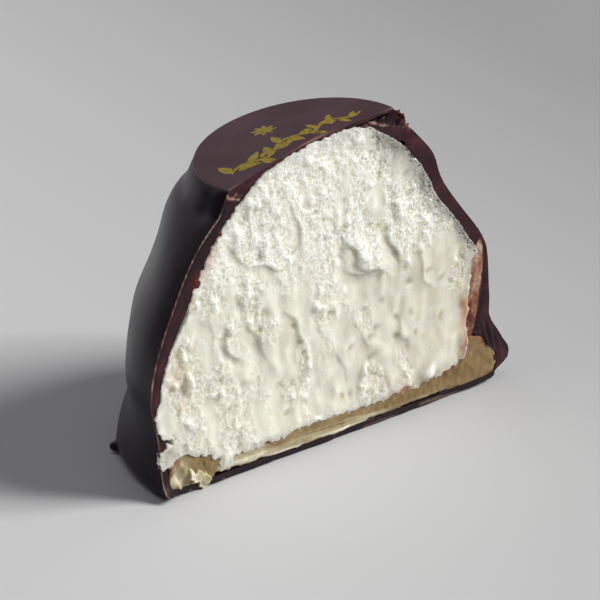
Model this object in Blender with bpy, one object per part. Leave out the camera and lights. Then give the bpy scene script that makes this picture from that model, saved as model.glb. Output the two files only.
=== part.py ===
"""Half of a chocolate-coated marshmallow, standing on its sole with the knife's cut facing -Y.

Whipped marshmallow foam sits on a base of marzipan. Both are dipped in dark chocolate, which closes under
them as a thin film, and a thin domed chocolate disc is laid on top while the coat is wet. The cut goes
through every layer, and the foam tears as the knife passes.

Each piece is drawn in millimetres about the dome's axis, with the cut in the plane y = 0. An empty then
carries them all, so that the part's origin is the middle of its footprint.
"""

import math
import random

import bmesh
import bpy
import numpy as np
from mathutils import Matrix, Vector, noise
from mathutils.geometry import delaunay_2d_cdt

MM = 0.001

GAP = 0.3  # clearance between neighbouring pieces
WALL = 1.7  # coat where the cut doesn't show it
FILM = 0.8  # coat under the marzipan
CROWN = 0.6  # coat under the disc

DISC_CENTRE = (-4.0, 1.8)
DISC_RADIUS = 12.4
DISC_THICKNESS = 0.7
DISC_RIM_HEIGHT = 37.6  # top of the rim, level with the disc's centre
DISC_SLOPE = (0.166, -0.034)  # rise per millimetre along X and Y
DISC_SAG = 1.0  # height of the disc's centre above its rim
DISC_EDGE = 0.18  # rounding of the rim

COLUMNS = 30  # steps round the half dome
DISC_SEGMENTS = 64
DISC_RINGS = 5

# The coat's side, feature by feature from the sole's edge up to the crown's, as (radius, height) at the
# right end of the cut, at the back, at the back left and at the left end of the cut.
STATIONS = (0.0, 90.0, 140.0, 180.0)
COAT_SIDE = (
    ((24.8, 0.0), (25.2, 0.0), (25.1, 0.0), (25.8, 0.0)),  # heel
    ((27.8, 2.2), (26.3, 2.3), (25.9, 2.2), (26.4, 2.3)),  # toe
    ((27.1, 4.9), (25.5, 5.0), (25.1, 4.9), (26.6, 5.1)),  # instep
    ((25.3, 8.2), (24.4, 8.6), (24.2, 8.7), (27.0, 8.6)),  # groove above the foot
    ((24.4, 12.0), (24.6, 12.4), (24.4, 12.4), (27.9, 12.4)),
    ((24.1, 15.7), (24.5, 16.0), (24.2, 16.2), (27.3, 16.2)),  # belly
    ((23.6, 19.0), (23.5, 19.1), (23.5, 19.2), (26.0, 19.8)),
    ((20.9, 22.6), (21.8, 22.7), (22.1, 22.6), (24.4, 23.3)),
    ((18.0, 26.2), (20.2, 26.2), (20.9, 26.3), (22.8, 26.5)),
    ((15.8, 29.4), (18.8, 29.2), (20.1, 29.2), (20.8, 29.4)),  # waist under the dome
    ((14.9, 32.2), (16.9, 32.1), (18.6, 32.1), (18.8, 31.5)),
    ((12.7, 34.7), (14.5, 34.6), (16.3, 34.3), (16.7, 33.3)),  # shoulder
    ((10.4, 37.0), (11.8, 36.8), (13.4, 35.6), (14.5, 34.9)),  # edge of the crown
)

# The coat's inner face at the same features, at the right and the left end of the cut.
CAVITY_RIGHT = (
    (24.0, 0.8),
    (25.9, 1.9),
    (25.0, 4.5),
    (21.0, 7.4),
    (20.8, 10.8),
    (21.3, 14.8),
    (23.0, 18.0),
    (20.2, 21.8),
    (17.1, 25.5),
    (14.9, 28.6),
    (13.5, 31.5),
    (11.0, 34.1),
    (8.6, 36.1),
)
CAVITY_LEFT = (
    (24.3, 0.8),
    (25.4, 2.2),
    (25.6, 5.1),
    (25.8, 8.6),
    (26.5, 12.3),
    (25.8, 15.8),
    (24.3, 19.2),
    (22.5, 22.5),
    (20.7, 25.5),
    (18.9, 28.2),
    (16.9, 30.7),
    (14.9, 32.6),
    (12.9, 34.2),
)
CAVITY_GROOVE = 3  # row of the groove, where the foam's side begins

# Top of the marzipan as (share of its radius, height), squeezed up into a rim at both ends of the cut.
MARZIPAN_STATIONS = (0.0, 90.0, 180.0)
MARZIPAN_TOPS = (
    (
        (0.0, 2.9),
        (0.27, 2.8),
        (0.35, 3.7),
        (0.46, 4.1),
        (0.60, 3.9),
        (0.77, 4.0),
        (0.83, 4.6),
        (0.87, 6.1),
        (0.94, 5.3),
        (1.0, 4.2),
    ),
    ((0.0, 2.9), (0.5, 2.9), (0.8, 3.3), (1.0, 3.8)),
    ((0.0, 2.9), (0.4, 2.7), (0.57, 2.2), (0.68, 2.5), (0.76, 3.5), (0.9, 4.5), (1.0, 4.1)),
)
SHARED_RINGS = (0.14, 0.27, 0.35, 0.46, 0.57, 0.68, 0.77)  # where the foam lies on the marzipan's hollow
RIM_RINGS = (0.83, 0.87, 0.905, 0.94, 0.97)  # rings over the marzipan's rim
MARZIPAN_SPACING = 0.9  # spacing of its cut face's points
MARZIPAN_GRAIN = 0.25
FOAM_CORNER = (20.5, 24.9)  # radius of the foam's lower edge at the right and the left end of the cut
FOAM_RINGS = 3  # rings between the hollow and the foam's lower edge
FOAM_GRAIN = 1.05  # spacing of the torn face's points
FOAM_PEAK = 0.7  # how far torn peaks stand out of the cut
FOAM_PIT = 1.5  # how deep tears go

# Lobes of the foot, where the coat ran down and set, as (azimuth, reach, half width in degrees).
LOBES = ((152.0, 0.5, 9.0), (118.0, 0.7, 8.0), (84.0, 0.3, 8.0), (47.0, 0.8, 9.0), (20.0, 0.5, 8.0))
LOBE_HEIGHT = 1.8
LOBE_SPREAD = 2.2
WAVE = 0.35  # uneven thickness of the set coat

# Drips that set against the foot, as (azimuth, radius, height) of the middle and (reach, width, height) of
# the half axes.
DRIPS = (((148.0, 26.0, 0.8), (1.2, 0.9, 0.75)), ((61.0, 26.1, 0.95), (1.2, 1.4, 0.9)))
FLAKE = ((-21.5, 1.6), (1.3, 0.6), 0.9)  # middle, half size and reach of a flake of marzipan

COAT_COLOUR = (0.016, 0.008, 0.009)
FOAM_COLOUR = (0.86, 0.84, 0.78)
MARZIPAN_COLOUR = (0.46, 0.38, 0.17)
DISC_COLOUR = (0.05, 0.036, 0.036)


def clear_scene():
    """Remove every object, so that the script can be run again."""
    for old in list(bpy.data.objects):
        bpy.data.objects.remove(old, do_unlink=True)


def finish(name, colour, roughness):
    """Plain food surface with no metal in it."""
    material = bpy.data.materials.new(name)
    material.use_nodes = True
    shader = material.node_tree.nodes["Principled BSDF"]
    shader.inputs["Base Color"].default_value = (*colour, 1.0)
    shader.inputs["Roughness"].default_value = roughness
    shader.inputs["Metallic"].default_value = 0.0
    return material


def add_piece(name, bm, material, carrier):
    """Turn a bmesh drawn in millimetres into a smooth-shaded object in metres, held by the carrier."""
    bmesh.ops.scale(bm, vec=(MM, MM, MM), verts=bm.verts)
    bmesh.ops.recalc_face_normals(bm, faces=bm.faces)
    mesh = bpy.data.meshes.new(name)
    bm.to_mesh(mesh)
    bm.free()
    mesh.shade_smooth()
    mesh.set_sharp_from_angle(angle=math.radians(40))
    mesh.materials.append(material)
    piece = bpy.data.objects.new(name, mesh)
    bpy.context.collection.objects.link(piece)
    piece.parent = carrier
    return piece


def disc_top(x, y):
    """Height of the disc's upper face over a point of the plan."""
    dx = x - DISC_CENTRE[0]
    dy = y - DISC_CENTRE[1]
    sag = DISC_SAG * (1.0 - (dx * dx + dy * dy) / DISC_RADIUS**2)
    return DISC_RIM_HEIGHT + DISC_SLOPE[0] * dx + DISC_SLOPE[1] * dy + sag


def polar(azimuth, radius, height):
    """Point at an azimuth in degrees, a radius and a height."""
    turn = math.radians(azimuth)
    return Vector((radius * math.cos(turn), radius * math.sin(turn), height))


def bell(distance, spread):
    """Smooth bump that is 1 in its middle and fades with distance."""
    return math.exp(-((distance / spread) ** 2))


def eased(azimuth, stations, outlines):
    """Outline at an azimuth, eased between those of the stations on either side."""
    after = next(i for i, station in enumerate(stations) if i > 0 and azimuth <= station)
    share = (azimuth - stations[after - 1]) / (stations[after] - stations[after - 1])
    share = share * share * (3.0 - 2.0 * share)
    return outlines[after - 1] * (1.0 - share) + outlines[after] * share


def inset(outline, distance):
    """Outline moved inwards by a distance, at right angles to itself."""
    along = np.gradient(outline, axis=0)
    along /= np.linalg.norm(along, axis=1, keepdims=True)
    inward = np.column_stack((-along[:, 1], along[:, 0]))
    return outline + inward * distance


def smoothed(outline, lowest):
    """Outline with a point added in each span by the four-point rule, kept above its lowest height."""
    padded = np.vstack((outline[0], outline, outline[-1]))
    middle = (9.0 * (padded[1:-2] + padded[2:-1]) - padded[:-3] - padded[3:]) / 16.0
    middle[:, 1] = np.maximum(middle[:, 1], lowest)
    result = np.empty((len(outline) * 2 - 1, 2))
    result[0::2] = outline
    result[1::2] = middle
    return result


def closed_outline(azimuth, side, lowest, under_disc):
    """Whole outline at an azimuth: the sole from its middle, the side, then the crown to its middle."""
    sole = [(side[0][0] * share, lowest) for share in (0.0, 0.35, 0.7)]
    crown = []
    for share in (0.8, 0.6, 0.4, 0.2, 0.0):
        radius = side[-1][0] * share
        spot = polar(azimuth, radius, 0.0)
        crown.append((radius, disc_top(spot.x, spot.y) - under_disc))
    return np.vstack((sole, side, crown))


def coat_outline(azimuth):
    """Outer face of the coat, with the lobes and waves that it set with."""
    stations = [np.array([row[i] for row in COAT_SIDE]) for i in range(len(STATIONS))]
    side = eased(azimuth, STATIONS, stations)
    away_from_cut = math.sin(math.radians(azimuth))
    for row in side[1:]:
        spot = polar(azimuth, 1.6, row[1] / 7.0)
        row[0] += WAVE * away_from_cut * noise.noise(spot)
        for centre, reach, width in LOBES:
            row[0] += reach * bell(row[1] - LOBE_HEIGHT, LOBE_SPREAD) * bell(azimuth - centre, width)
    return closed_outline(azimuth, side, 0.0, DISC_THICKNESS + GAP)


def cavity_outline(azimuth):
    """Inner face of the coat, around the foam and the marzipan."""
    hidden = []
    for i in (1, 2):
        whole = closed_outline(STATIONS[i], np.array([row[i] for row in COAT_SIDE]), 0.0, DISC_THICKNESS)
        hidden.append(inset(whole, WALL)[3:-5])
    stations = [np.array(CAVITY_RIGHT), *hidden, np.array(CAVITY_LEFT)]
    side = eased(azimuth, STATIONS, stations)
    side[0] = (side[0][0], FILM)
    return closed_outline(azimuth, side, FILM, DISC_THICKNESS + GAP + CROWN)


def marzipan_height(azimuth, share):
    """Height of the marzipan's top at an azimuth and a share of its radius."""
    heights = [np.interp(share, *zip(*top)) for top in MARZIPAN_TOPS]
    return eased(azimuth, MARZIPAN_STATIONS, heights)


def marzipan_radius(azimuth):
    """Radius of the marzipan at the top of its side."""
    return inset(cavity_outline(azimuth), GAP)[5][0]


def marzipan_outline(azimuth):
    """Slab that fills the foot of the cavity, with a rim squeezed up at its ends."""
    lining = inset(cavity_outline(azimuth), GAP)
    sole = [(lining[i][0], FILM + GAP) for i in (0, 1, 2, 3)]
    side = [tuple(lining[4]), (lining[5][0], marzipan_height(azimuth, 1.0))]
    shares = [*reversed(RIM_RINGS), *reversed(SHARED_RINGS), 0.0]
    top = [(lining[5][0] * share, marzipan_height(azimuth, share)) for share in shares]
    return np.array([*sole, *side, *top])


def foam_outline(azimuth):
    """Foam from the marzipan up to the crown."""
    lining = inset(cavity_outline(azimuth), GAP)
    start = 3 + CAVITY_GROOVE
    away_from_cut = math.sin(math.radians(azimuth))
    towards_right = (1.0 + math.cos(math.radians(azimuth))) / 2.0
    at_cut = FOAM_CORNER[0] * towards_right + FOAM_CORNER[1] * (1.0 - towards_right)
    corner = at_cut + (lining[start][0] - 0.4 - at_cut) * away_from_cut
    radius = marzipan_radius(azimuth)
    edge = np.linspace(SHARED_RINGS[-1], corner / radius, FOAM_RINGS + 1)[1:]
    shares = [0.0, *SHARED_RINGS, *edge]
    under = [(radius * share, marzipan_height(azimuth, share) + GAP) for share in shares]
    sides = smoothed(lining[start:], 0.0)
    sides[-1] = (0.0, sides[-1][1])
    return np.vstack((under, sides))


def loft(bm, outline_at):
    """Skin a half turn of outlines that share their first and last points; gives its ring at the cut."""
    azimuths = [180.0 * i / COLUMNS for i in range(COLUMNS + 1)]
    outlines = [outline_at(azimuth) for azimuth in azimuths]
    bottom = bm.verts.new(polar(0.0, *outlines[0][0]))
    top = bm.verts.new(polar(0.0, *outlines[0][-1]))
    rows = []
    for azimuth, outline in zip(azimuths, outlines):
        side = [bm.verts.new(polar(azimuth, *point)) for point in outline[1:-1]]
        rows.append([bottom, *side, top])
    for near, far in zip(rows, rows[1:]):
        bm.faces.new((near[0], near[1], far[1]))
        bm.faces.new((near[-2], near[-1], far[-2]))
        for k in range(1, len(near) - 2):
            bm.faces.new((near[k], near[k + 1], far[k + 1], far[k]))
    return [*rows[0], *reversed(rows[-1][1:-1])]


def inside(point, ring, margin):
    """Whether a point of the cut lies within a ring of points, clear of it by a margin."""
    start = ring
    along = np.roll(ring, -1, axis=0) - start
    to_point = point - start
    share = np.clip((to_point * along).sum(axis=1) / (along * along).sum(axis=1), 0.0, 1.0)
    distance = np.linalg.norm(to_point - along * share[:, None], axis=1).min()
    crosses = (start[:, 1] > point[1]) != (np.roll(ring, -1, axis=0)[:, 1] > point[1])
    rising = np.where(along[:, 1] == 0.0, 1.0, along[:, 1])
    meets = start[:, 0] + (point[1] - start[:, 1]) * along[:, 0] / rising
    return distance > margin and np.count_nonzero(crosses & (point[0] < meets)) % 2 == 1


def close_cut(bm, rim, spacing, relief):
    """Close a skin at the cut with a triangulated face, whose inner points follow a relief."""
    ring = np.array([(vert.co.x, vert.co.z) for vert in rim])
    draw = random.Random(11)
    points = [Vector(corner) for corner in ring]
    rows = int((ring[:, 1].max() - ring[:, 1].min()) / (spacing * 0.87)) + 1
    steps = int((ring[:, 0].max() - ring[:, 0].min()) / spacing) + 1
    for j in range(rows):
        for i in range(steps):
            x = ring[:, 0].min() + spacing * (i + 0.5 * (j % 2) + draw.uniform(-0.25, 0.25))
            z = ring[:, 1].min() + spacing * (0.87 * j + draw.uniform(-0.25, 0.25))
            if inside(np.array((x, z)), ring, spacing * 0.55):
                points.append(Vector((x, z)))
    edges = [(i, (i + 1) % len(rim)) for i in range(len(rim))]
    flat = delaunay_2d_cdt(points, edges, [], 1, 0.0001)
    verts = []
    for spot, sources in zip(flat[0], flat[3]):
        if sources and sources[0] < len(rim):
            verts.append(rim[sources[0]])
        else:
            verts.append(bm.verts.new((spot.x, relief(spot.x, spot.y), spot.y)))
    for face in flat[2]:
        bm.faces.new([verts[i] for i in face])


def torn_relief(x, z):
    """Depth of the torn foam: soft hollows, and crags that a dragging knife pulls out of it."""
    hollow = noise.noise(Vector((x / 7.0, 3.7, z / 5.0)))
    crag = noise.turbulence(Vector((x / 2.6, 9.1, z / 3.4)), 3, True)
    depth = 0.7 * hollow + 1.9 * (crag - 0.42)
    return max(-FOAM_PEAK, min(FOAM_PIT, depth))


def crumbly_relief(x, z):
    """Slight unevenness of cut marzipan, with a flake that the knife pulled out at the left."""
    middle, size, reach = FLAKE
    flake = reach * bell(x - middle[0], size[0]) * bell(z - middle[1], size[1])
    return MARZIPAN_GRAIN * noise.noise(Vector((x / 1.9, 5.2, z / 1.2))) - flake


def make_coat(carrier):
    """Coat, crown and sole film in one dip: a thick skin that is open at the cut."""
    bm = bmesh.new()
    outer = loft(bm, lambda azimuth: smoothed(coat_outline(azimuth), 0.0))
    inner = loft(bm, lambda azimuth: smoothed(cavity_outline(azimuth), FILM))
    for k in range(len(outer)):
        bm.faces.new((outer[k - 1], outer[k], inner[k], inner[k - 1]))
    coat = add_piece("chocolate_coat", bm, finish("dark_chocolate", COAT_COLOUR, 0.32), carrier)
    for i, drip in enumerate(DRIPS):
        join_drip(coat, f"drip_{i + 1}", drip, carrier)
    return coat


def join_drip(coat, name, drip, carrier):
    """Join a rounded drip to the foot of the coat."""
    middle, half_axes = drip
    bm = bmesh.new()
    bmesh.ops.create_icosphere(bm, subdivisions=2, radius=1.0)
    bmesh.ops.scale(bm, vec=half_axes, verts=bm.verts)
    bmesh.ops.rotate(bm, matrix=Matrix.Rotation(math.radians(middle[0]), 3, "Z"), verts=bm.verts)
    bmesh.ops.translate(bm, vec=polar(*middle), verts=bm.verts)
    blob = add_piece(name, bm, coat.data.materials[0], carrier)
    blob.hide_render = True
    blob.display_type = "WIRE"
    union = coat.modifiers.new(name, "BOOLEAN")
    union.operation = "UNION"
    union.solver = "EXACT"
    union.object = blob


def make_foam(carrier):
    """Whipped foam, torn where the knife went through it."""
    bm = bmesh.new()
    close_cut(bm, loft(bm, foam_outline), FOAM_GRAIN, torn_relief)
    return add_piece("marshmallow_foam", bm, finish("whipped_foam", FOAM_COLOUR, 0.8), carrier)


def make_marzipan(carrier):
    """Marzipan base, cut with the rest."""
    bm = bmesh.new()
    close_cut(bm, loft(bm, marzipan_outline), MARZIPAN_SPACING, crumbly_relief)
    return add_piece("marzipan_base", bm, finish("marzipan", MARZIPAN_COLOUR, 0.6), carrier)


def make_disc(carrier):
    """Thin round chocolate disc, domed, with a rounded rim, and halved with the rest."""
    bm = bmesh.new()
    bmesh.ops.create_circle(bm, cap_ends=True, segments=DISC_SEGMENTS, radius=DISC_RADIUS)
    face = list(bm.faces)
    for ring in range(DISC_RINGS):
        width = DISC_EDGE if ring == 0 else (DISC_RADIUS - DISC_EDGE) / DISC_RINGS
        bmesh.ops.inset_region(bm, faces=face, thickness=width, use_even_offset=True)
    bmesh.ops.poke(bm, faces=face)
    bmesh.ops.translate(bm, vec=(*DISC_CENTRE, 0.0), verts=bm.verts)
    upper = list(bm.verts)
    copied = bmesh.ops.duplicate(bm, geom=[*bm.verts, *bm.edges, *bm.faces])["geom"]
    lower = [item for item in copied if isinstance(item, bmesh.types.BMVert)]
    for verts, drop, step in ((upper, 0.0, -DISC_EDGE), (lower, DISC_THICKNESS, DISC_EDGE)):
        for vert in verts:
            at_rim = (vert.co.xy - Vector(DISC_CENTRE)).length > DISC_RADIUS - DISC_EDGE / 2
            vert.co.z = disc_top(vert.co.x, vert.co.y) - drop + (step if at_rim else 0.0)
    bmesh.ops.bridge_loops(bm, edges=[edge for edge in bm.edges if edge.is_boundary])
    everything = [*bm.verts, *bm.edges, *bm.faces]
    bmesh.ops.bisect_plane(bm, geom=everything, plane_co=(0, 0, 0), plane_no=(0, -1, 0), clear_outer=True)
    bmesh.ops.holes_fill(bm, edges=[edge for edge in bm.edges if edge.is_boundary], sides=0)
    return add_piece("chocolate_disc", bm, finish("moulded_chocolate", DISC_COLOUR, 0.42), carrier)


def centre_on_footprint(carrier, pieces):
    """Move the carrier so that the part's origin is below the middle of its bounding box."""
    corners = np.array([vert.co for piece in pieces for vert in piece.data.vertices])
    middle = (corners.min(axis=0) + corners.max(axis=0)) / 2.0
    carrier.location = (-middle[0], -middle[1], 0.0)


def main():
    """Build the four pieces on one carrier."""
    clear_scene()
    carrier = bpy.data.objects.new("half_marshmallow", None)
    bpy.context.collection.objects.link(carrier)
    makers = (make_coat, make_foam, make_marzipan, make_disc)
    pieces = [make(carrier) for make in makers]
    centre_on_footprint(carrier, pieces)


main()
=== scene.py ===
"""Halved chocolate-coated marshmallow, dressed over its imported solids.

Whipped marshmallow foam stands on a marzipan base. Both are dipped in dark chocolate, and a thin moulded
chocolate disc is laid on top. A knife has gone through every layer. Each layer starts from a smoothed copy
of its solid, is carried a little past the cut and is then sliced by a block, whose front has the relief that
the knife leaves in that layer.

Shapes are worked out in millimetres of the cut: X runs along the cut, Y into the sweet and Z up, with the
dome's axis at X = 0 and the knife's plane at Y = 0. Where a shape is given by a bare step, bell or spot, its
numbers are places and widths in those millimetres, and the factor before it is a height in millimetres too,
or a share from 0 to 1 for a tone.
"""

import logging
import math
from collections.abc import Callable, Iterator
from contextlib import contextmanager
from dataclasses import dataclass, field
from enum import Enum

import bmesh
import bpy
import numpy as np
from mathutils import Matrix, Vector, kdtree, noise


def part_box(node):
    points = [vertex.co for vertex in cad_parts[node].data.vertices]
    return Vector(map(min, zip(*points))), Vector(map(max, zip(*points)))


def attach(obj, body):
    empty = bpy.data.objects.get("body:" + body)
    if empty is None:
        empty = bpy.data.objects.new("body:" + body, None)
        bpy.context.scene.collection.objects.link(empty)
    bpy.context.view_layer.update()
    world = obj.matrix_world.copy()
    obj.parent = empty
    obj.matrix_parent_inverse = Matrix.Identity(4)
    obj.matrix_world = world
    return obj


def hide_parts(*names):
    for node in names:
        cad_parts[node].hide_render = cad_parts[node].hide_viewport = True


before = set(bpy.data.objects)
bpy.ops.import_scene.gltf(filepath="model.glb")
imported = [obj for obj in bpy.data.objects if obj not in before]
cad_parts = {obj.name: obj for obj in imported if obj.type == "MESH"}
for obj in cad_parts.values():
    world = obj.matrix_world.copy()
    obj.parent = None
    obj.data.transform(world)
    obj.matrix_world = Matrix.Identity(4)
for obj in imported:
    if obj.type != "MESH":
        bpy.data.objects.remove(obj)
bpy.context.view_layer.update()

log = logging.getLogger("marshmallow")

MM = 0.001
AXIS_X = 0.05  # the dome's axis from the part's origin, in millimetres
CUT_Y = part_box("chocolate_coat")[0].y / MM  # the knife's plane, in millimetres
TO_PART = Matrix.Scale(MM, 4) @ Matrix.Translation((AXIS_X, CUT_Y, 0.0))
TO_CUT = TO_PART.inverted()
WELD = 0.002  # corners this close, in millimetres, are one
CRISP = math.radians(50)  # an edge that turns more than this stays sharp
BEHIND = 1.3  # how far the knife passes behind the cut outside a layer, in millimetres
FAR = 99.0

Grid = np.ndarray
Spot = tuple[float, float]
Corners = tuple[Spot, ...]


# ---------------------------------------------------------------------------------------------------------
# Helpers


def linear(code: str) -> tuple[float, float, float, float]:
    """Turns an sRGB hex colour into linear red, green, blue and alpha.

    Args:
        code: six hex digits after a hash.

    Returns:
        The four numbers that a colour socket takes.
    """
    parts = [int(code[i : i + 2], 16) / 255.0 for i in (1, 3, 5)]
    values = [c / 12.92 if c <= 0.04045 else ((c + 0.055) / 1.055) ** 2.4 for c in parts]
    return (*values, 1.0)


def per_mm(size: float) -> float:
    """Returns the scale of a pattern whose cells are this many millimetres wide, on Object coordinates."""
    return 1.0 / (size * MM)


def set_sockets(node: bpy.types.Node, sockets: dict) -> None:
    """Sets a node's inputs.

    Args:
        node: the node.
        sockets: input name or number, with its value, its hex colour, or a node or output socket to link to it.
    """
    for key, value in sockets.items():
        if isinstance(value, bpy.types.Node):
            value = value.outputs[0]
        if isinstance(value, bpy.types.NodeSocket):
            node.id_data.links.new(value, node.inputs[key])
        else:
            node.inputs[key].default_value = linear(value) if isinstance(value, str) else value


def add_node(
    tree: bpy.types.NodeTree, kind: str, sockets: dict | None = None, stops: tuple = (), **settings: object
) -> bpy.types.Node:
    """Adds a shader node with its settings and links.

    Args:
        tree: the material's node tree.
        kind: node type, without its ShaderNode prefix.
        sockets: what its inputs are set or linked to, as set_sockets takes it.
        stops: position and hex colour of each stop, for a colour ramp.
        settings: the node's own properties.

    Returns:
        The node.
    """
    made = tree.nodes.new("ShaderNode" + kind)
    for name, value in settings.items():
        setattr(made, name, value)
    set_sockets(made, sockets or {})
    if stops:
        elements = made.color_ramp.elements
        while len(elements) < len(stops):
            elements.new(1.0)
        for element, (place, code) in zip(elements, stops):
            element.position = place
            element.color = linear(code)
    return made


def new_material(name: str) -> tuple[bpy.types.Material, bpy.types.NodeTree, bpy.types.Node]:
    """Starts a material.

    Args:
        name: the material's name.

    Returns:
        The material, its node tree and its Principled shader.
    """
    material = bpy.data.materials.new(name)
    material.use_nodes = True
    tree = material.node_tree
    return material, tree, tree.nodes["Principled BSDF"]


def dress(piece: bpy.types.Object, *materials: bpy.types.Material) -> None:
    """Gives a piece its materials in place of what it had.

    Args:
        piece: the mesh object.
        materials: its new materials, in the order of their slots.
    """
    piece.data.materials.clear()
    for material in materials:
        piece.data.materials.append(material)


def activate(piece: bpy.types.Object) -> None:
    """Deselects everything, then selects one piece and makes it active.

    Args:
        piece: what is to be active.
    """
    bpy.ops.object.select_all(action="DESELECT")
    bpy.context.view_layer.objects.active = piece
    piece.select_set(True)


def start_from(primitive: Callable, **sizes: object) -> bpy.types.Object:
    """Adds a primitive to shape, with nothing else selected.

    Args:
        primitive: the operator that adds it.
        sizes: the operator's settings.

    Returns:
        The primitive.
    """
    bpy.ops.object.select_all(action="DESELECT")
    primitive(calc_uvs=False, **sizes)
    return bpy.context.object


@contextmanager
def editing(piece: bpy.types.Object, mode: str = "FACE", everything: bool = False) -> Iterator[None]:
    """Holds a piece in edit mode, with all or none of it selected.

    Args:
        piece: the mesh object.
        mode: what is picked: VERT, EDGE or FACE.
        everything: whether all of it starts selected.

    Yields:
        Nothing.
    """
    activate(piece)
    bpy.ops.object.mode_set(mode="EDIT")
    bpy.ops.mesh.select_mode(type=mode)
    bpy.ops.mesh.select_all(action="SELECT" if everything else "DESELECT")
    yield
    bpy.ops.object.mode_set(mode="OBJECT")


def pick_faces(piece: bpy.types.Object, chosen: Callable[[bmesh.types.BMFace], bool]) -> None:
    """Selects some faces of the piece in edit mode.

    Args:
        piece: the mesh object.
        chosen: test of a face's place or normal that the selected faces pass.
    """
    skin = bmesh.from_edit_mesh(piece.data)
    for face in skin.faces:
        face.select_set(chosen(face))
    bmesh.update_edit_mesh(piece.data)


def pick_rims() -> None:
    """Selects the open edges of the piece in edit mode."""
    others = ("use_wire", "use_multi_face", "use_non_contiguous", "use_verts")
    bpy.ops.mesh.select_all(action="DESELECT")
    bpy.ops.mesh.select_non_manifold(extend=False, use_boundary=True, **dict.fromkeys(others, False))


def push_out(extrude: Callable, y: float) -> None:
    """Extrudes what is selected in edit mode by a distance along Y, with one of the extrude operators."""
    extrude(TRANSFORM_OT_translate={"value": (0.0, y, 0.0)})


def face_outwards() -> None:
    """Turns all faces of the piece in edit mode outwards."""
    bpy.ops.mesh.select_all(action="SELECT")
    bpy.ops.mesh.normals_make_consistent(inside=False)


def apply_modifier(piece: bpy.types.Object, kind: str, **settings: object) -> None:
    """Adds a modifier and applies it.

    Args:
        piece: the mesh object.
        kind: the modifier's type.
        settings: its settings.
    """
    activate(piece)
    modifier = piece.modifiers.new(kind.lower(), kind)
    for name, value in settings.items():
        setattr(modifier, name, value)
    bpy.ops.object.modifier_apply(modifier=modifier.name)


def combine(piece: bpy.types.Object, tool: bpy.types.Object, operation: str) -> None:
    """Joins a closed tool to a closed piece, or keeps what they share, and deletes the tool."""
    apply_modifier(piece, "BOOLEAN", operation=operation, solver="MANIFOLD", object=tool)
    bpy.data.meshes.remove(tool.data)


def points_of(piece: bpy.types.Object) -> Grid:
    """Reads where a piece's vertices are.

    Args:
        piece: the mesh object.

    Returns:
        Rows of X, Y and Z.
    """
    flat = np.empty(len(piece.data.vertices) * 3)
    piece.data.vertices.foreach_get("co", flat)
    return flat.reshape(-1, 3)


def normals_of(piece: bpy.types.Object) -> Grid:
    """Reads where a piece's vertices face.

    Args:
        piece: the mesh object.

    Returns:
        Rows of X, Y and Z of unit vectors.
    """
    flat = np.empty(len(piece.data.vertices) * 3)
    piece.data.vertex_normals.foreach_get("vector", flat)
    return flat.reshape(-1, 3)


def place_points(piece: bpy.types.Object, points: Grid) -> None:
    """Moves a piece's vertices to new places."""
    piece.data.vertices.foreach_set("co", points.ravel())
    piece.data.update()


def write_tone(piece: bpy.types.Object, name: str, values: Grid) -> None:
    """Keeps a number for each vertex, for the piece's material to read."""
    tone = piece.data.attributes.new(name, "FLOAT", "POINT")
    tone.data.foreach_set("value", values.astype(np.float32))


def unit(values: Grid) -> Grid:
    """Holds values between 0 and 1."""
    return np.clip(values, 0.0, 1.0)


def step(low: float, high: float, values: Grid) -> Grid:
    """Returns a smooth step from 0 at the low value to 1 at the high one."""
    share = unit((values - low) / (high - low))
    return share * share * (3.0 - 2.0 * share)


def fall(low: float, high: float, values: Grid) -> Grid:
    """Returns a smooth step from 1 at the low value to 0 at the high one."""
    return 1.0 - step(low, high, values)


def bell(values: Grid, spread: float) -> Grid:
    """Returns a smooth bump, 1 where the values are 0."""
    return np.exp(-((values / spread) ** 2))


def merged_copy(node: str, name: str) -> bpy.types.Object:
    """Copies a CAD node's loose triangles and merges them into one skin of quads.

    Args:
        node: name of the CAD node.
        name: name of the new piece.

    Returns:
        The copy, in millimetres of the cut.
    """
    piece = bpy.data.objects.new(name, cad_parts[node].data.copy())
    bpy.context.collection.objects.link(piece)
    piece.data.transform(TO_CUT)
    dress(piece)
    activate(piece)
    if piece.data.has_custom_normals:
        bpy.ops.mesh.customdata_custom_splitnormals_clear()
    with editing(piece, everything=True):
        bpy.ops.mesh.remove_doubles(threshold=WELD)
        bpy.ops.mesh.tris_convert_to_quads(face_threshold=math.radians(35), shape_threshold=math.radians(60))
    return piece


def settle(piece: bpy.types.Object, node: str, replaces: bool = True) -> None:
    """Puts a finished piece in its place on the part, shades it and hangs it under the root body.

    Args:
        piece: the mesh object, in millimetres of the cut.
        node: the CAD node that it belongs to.
        replaces: whether it is shown instead of the node.
    """
    piece.data.transform(TO_PART)
    activate(piece)
    bpy.ops.object.shade_smooth_by_angle(angle=CRISP)
    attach(piece, "root")
    if replaces:
        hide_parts(node)


# ---------------------------------------------------------------------------------------------------------
# Finishes


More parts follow.
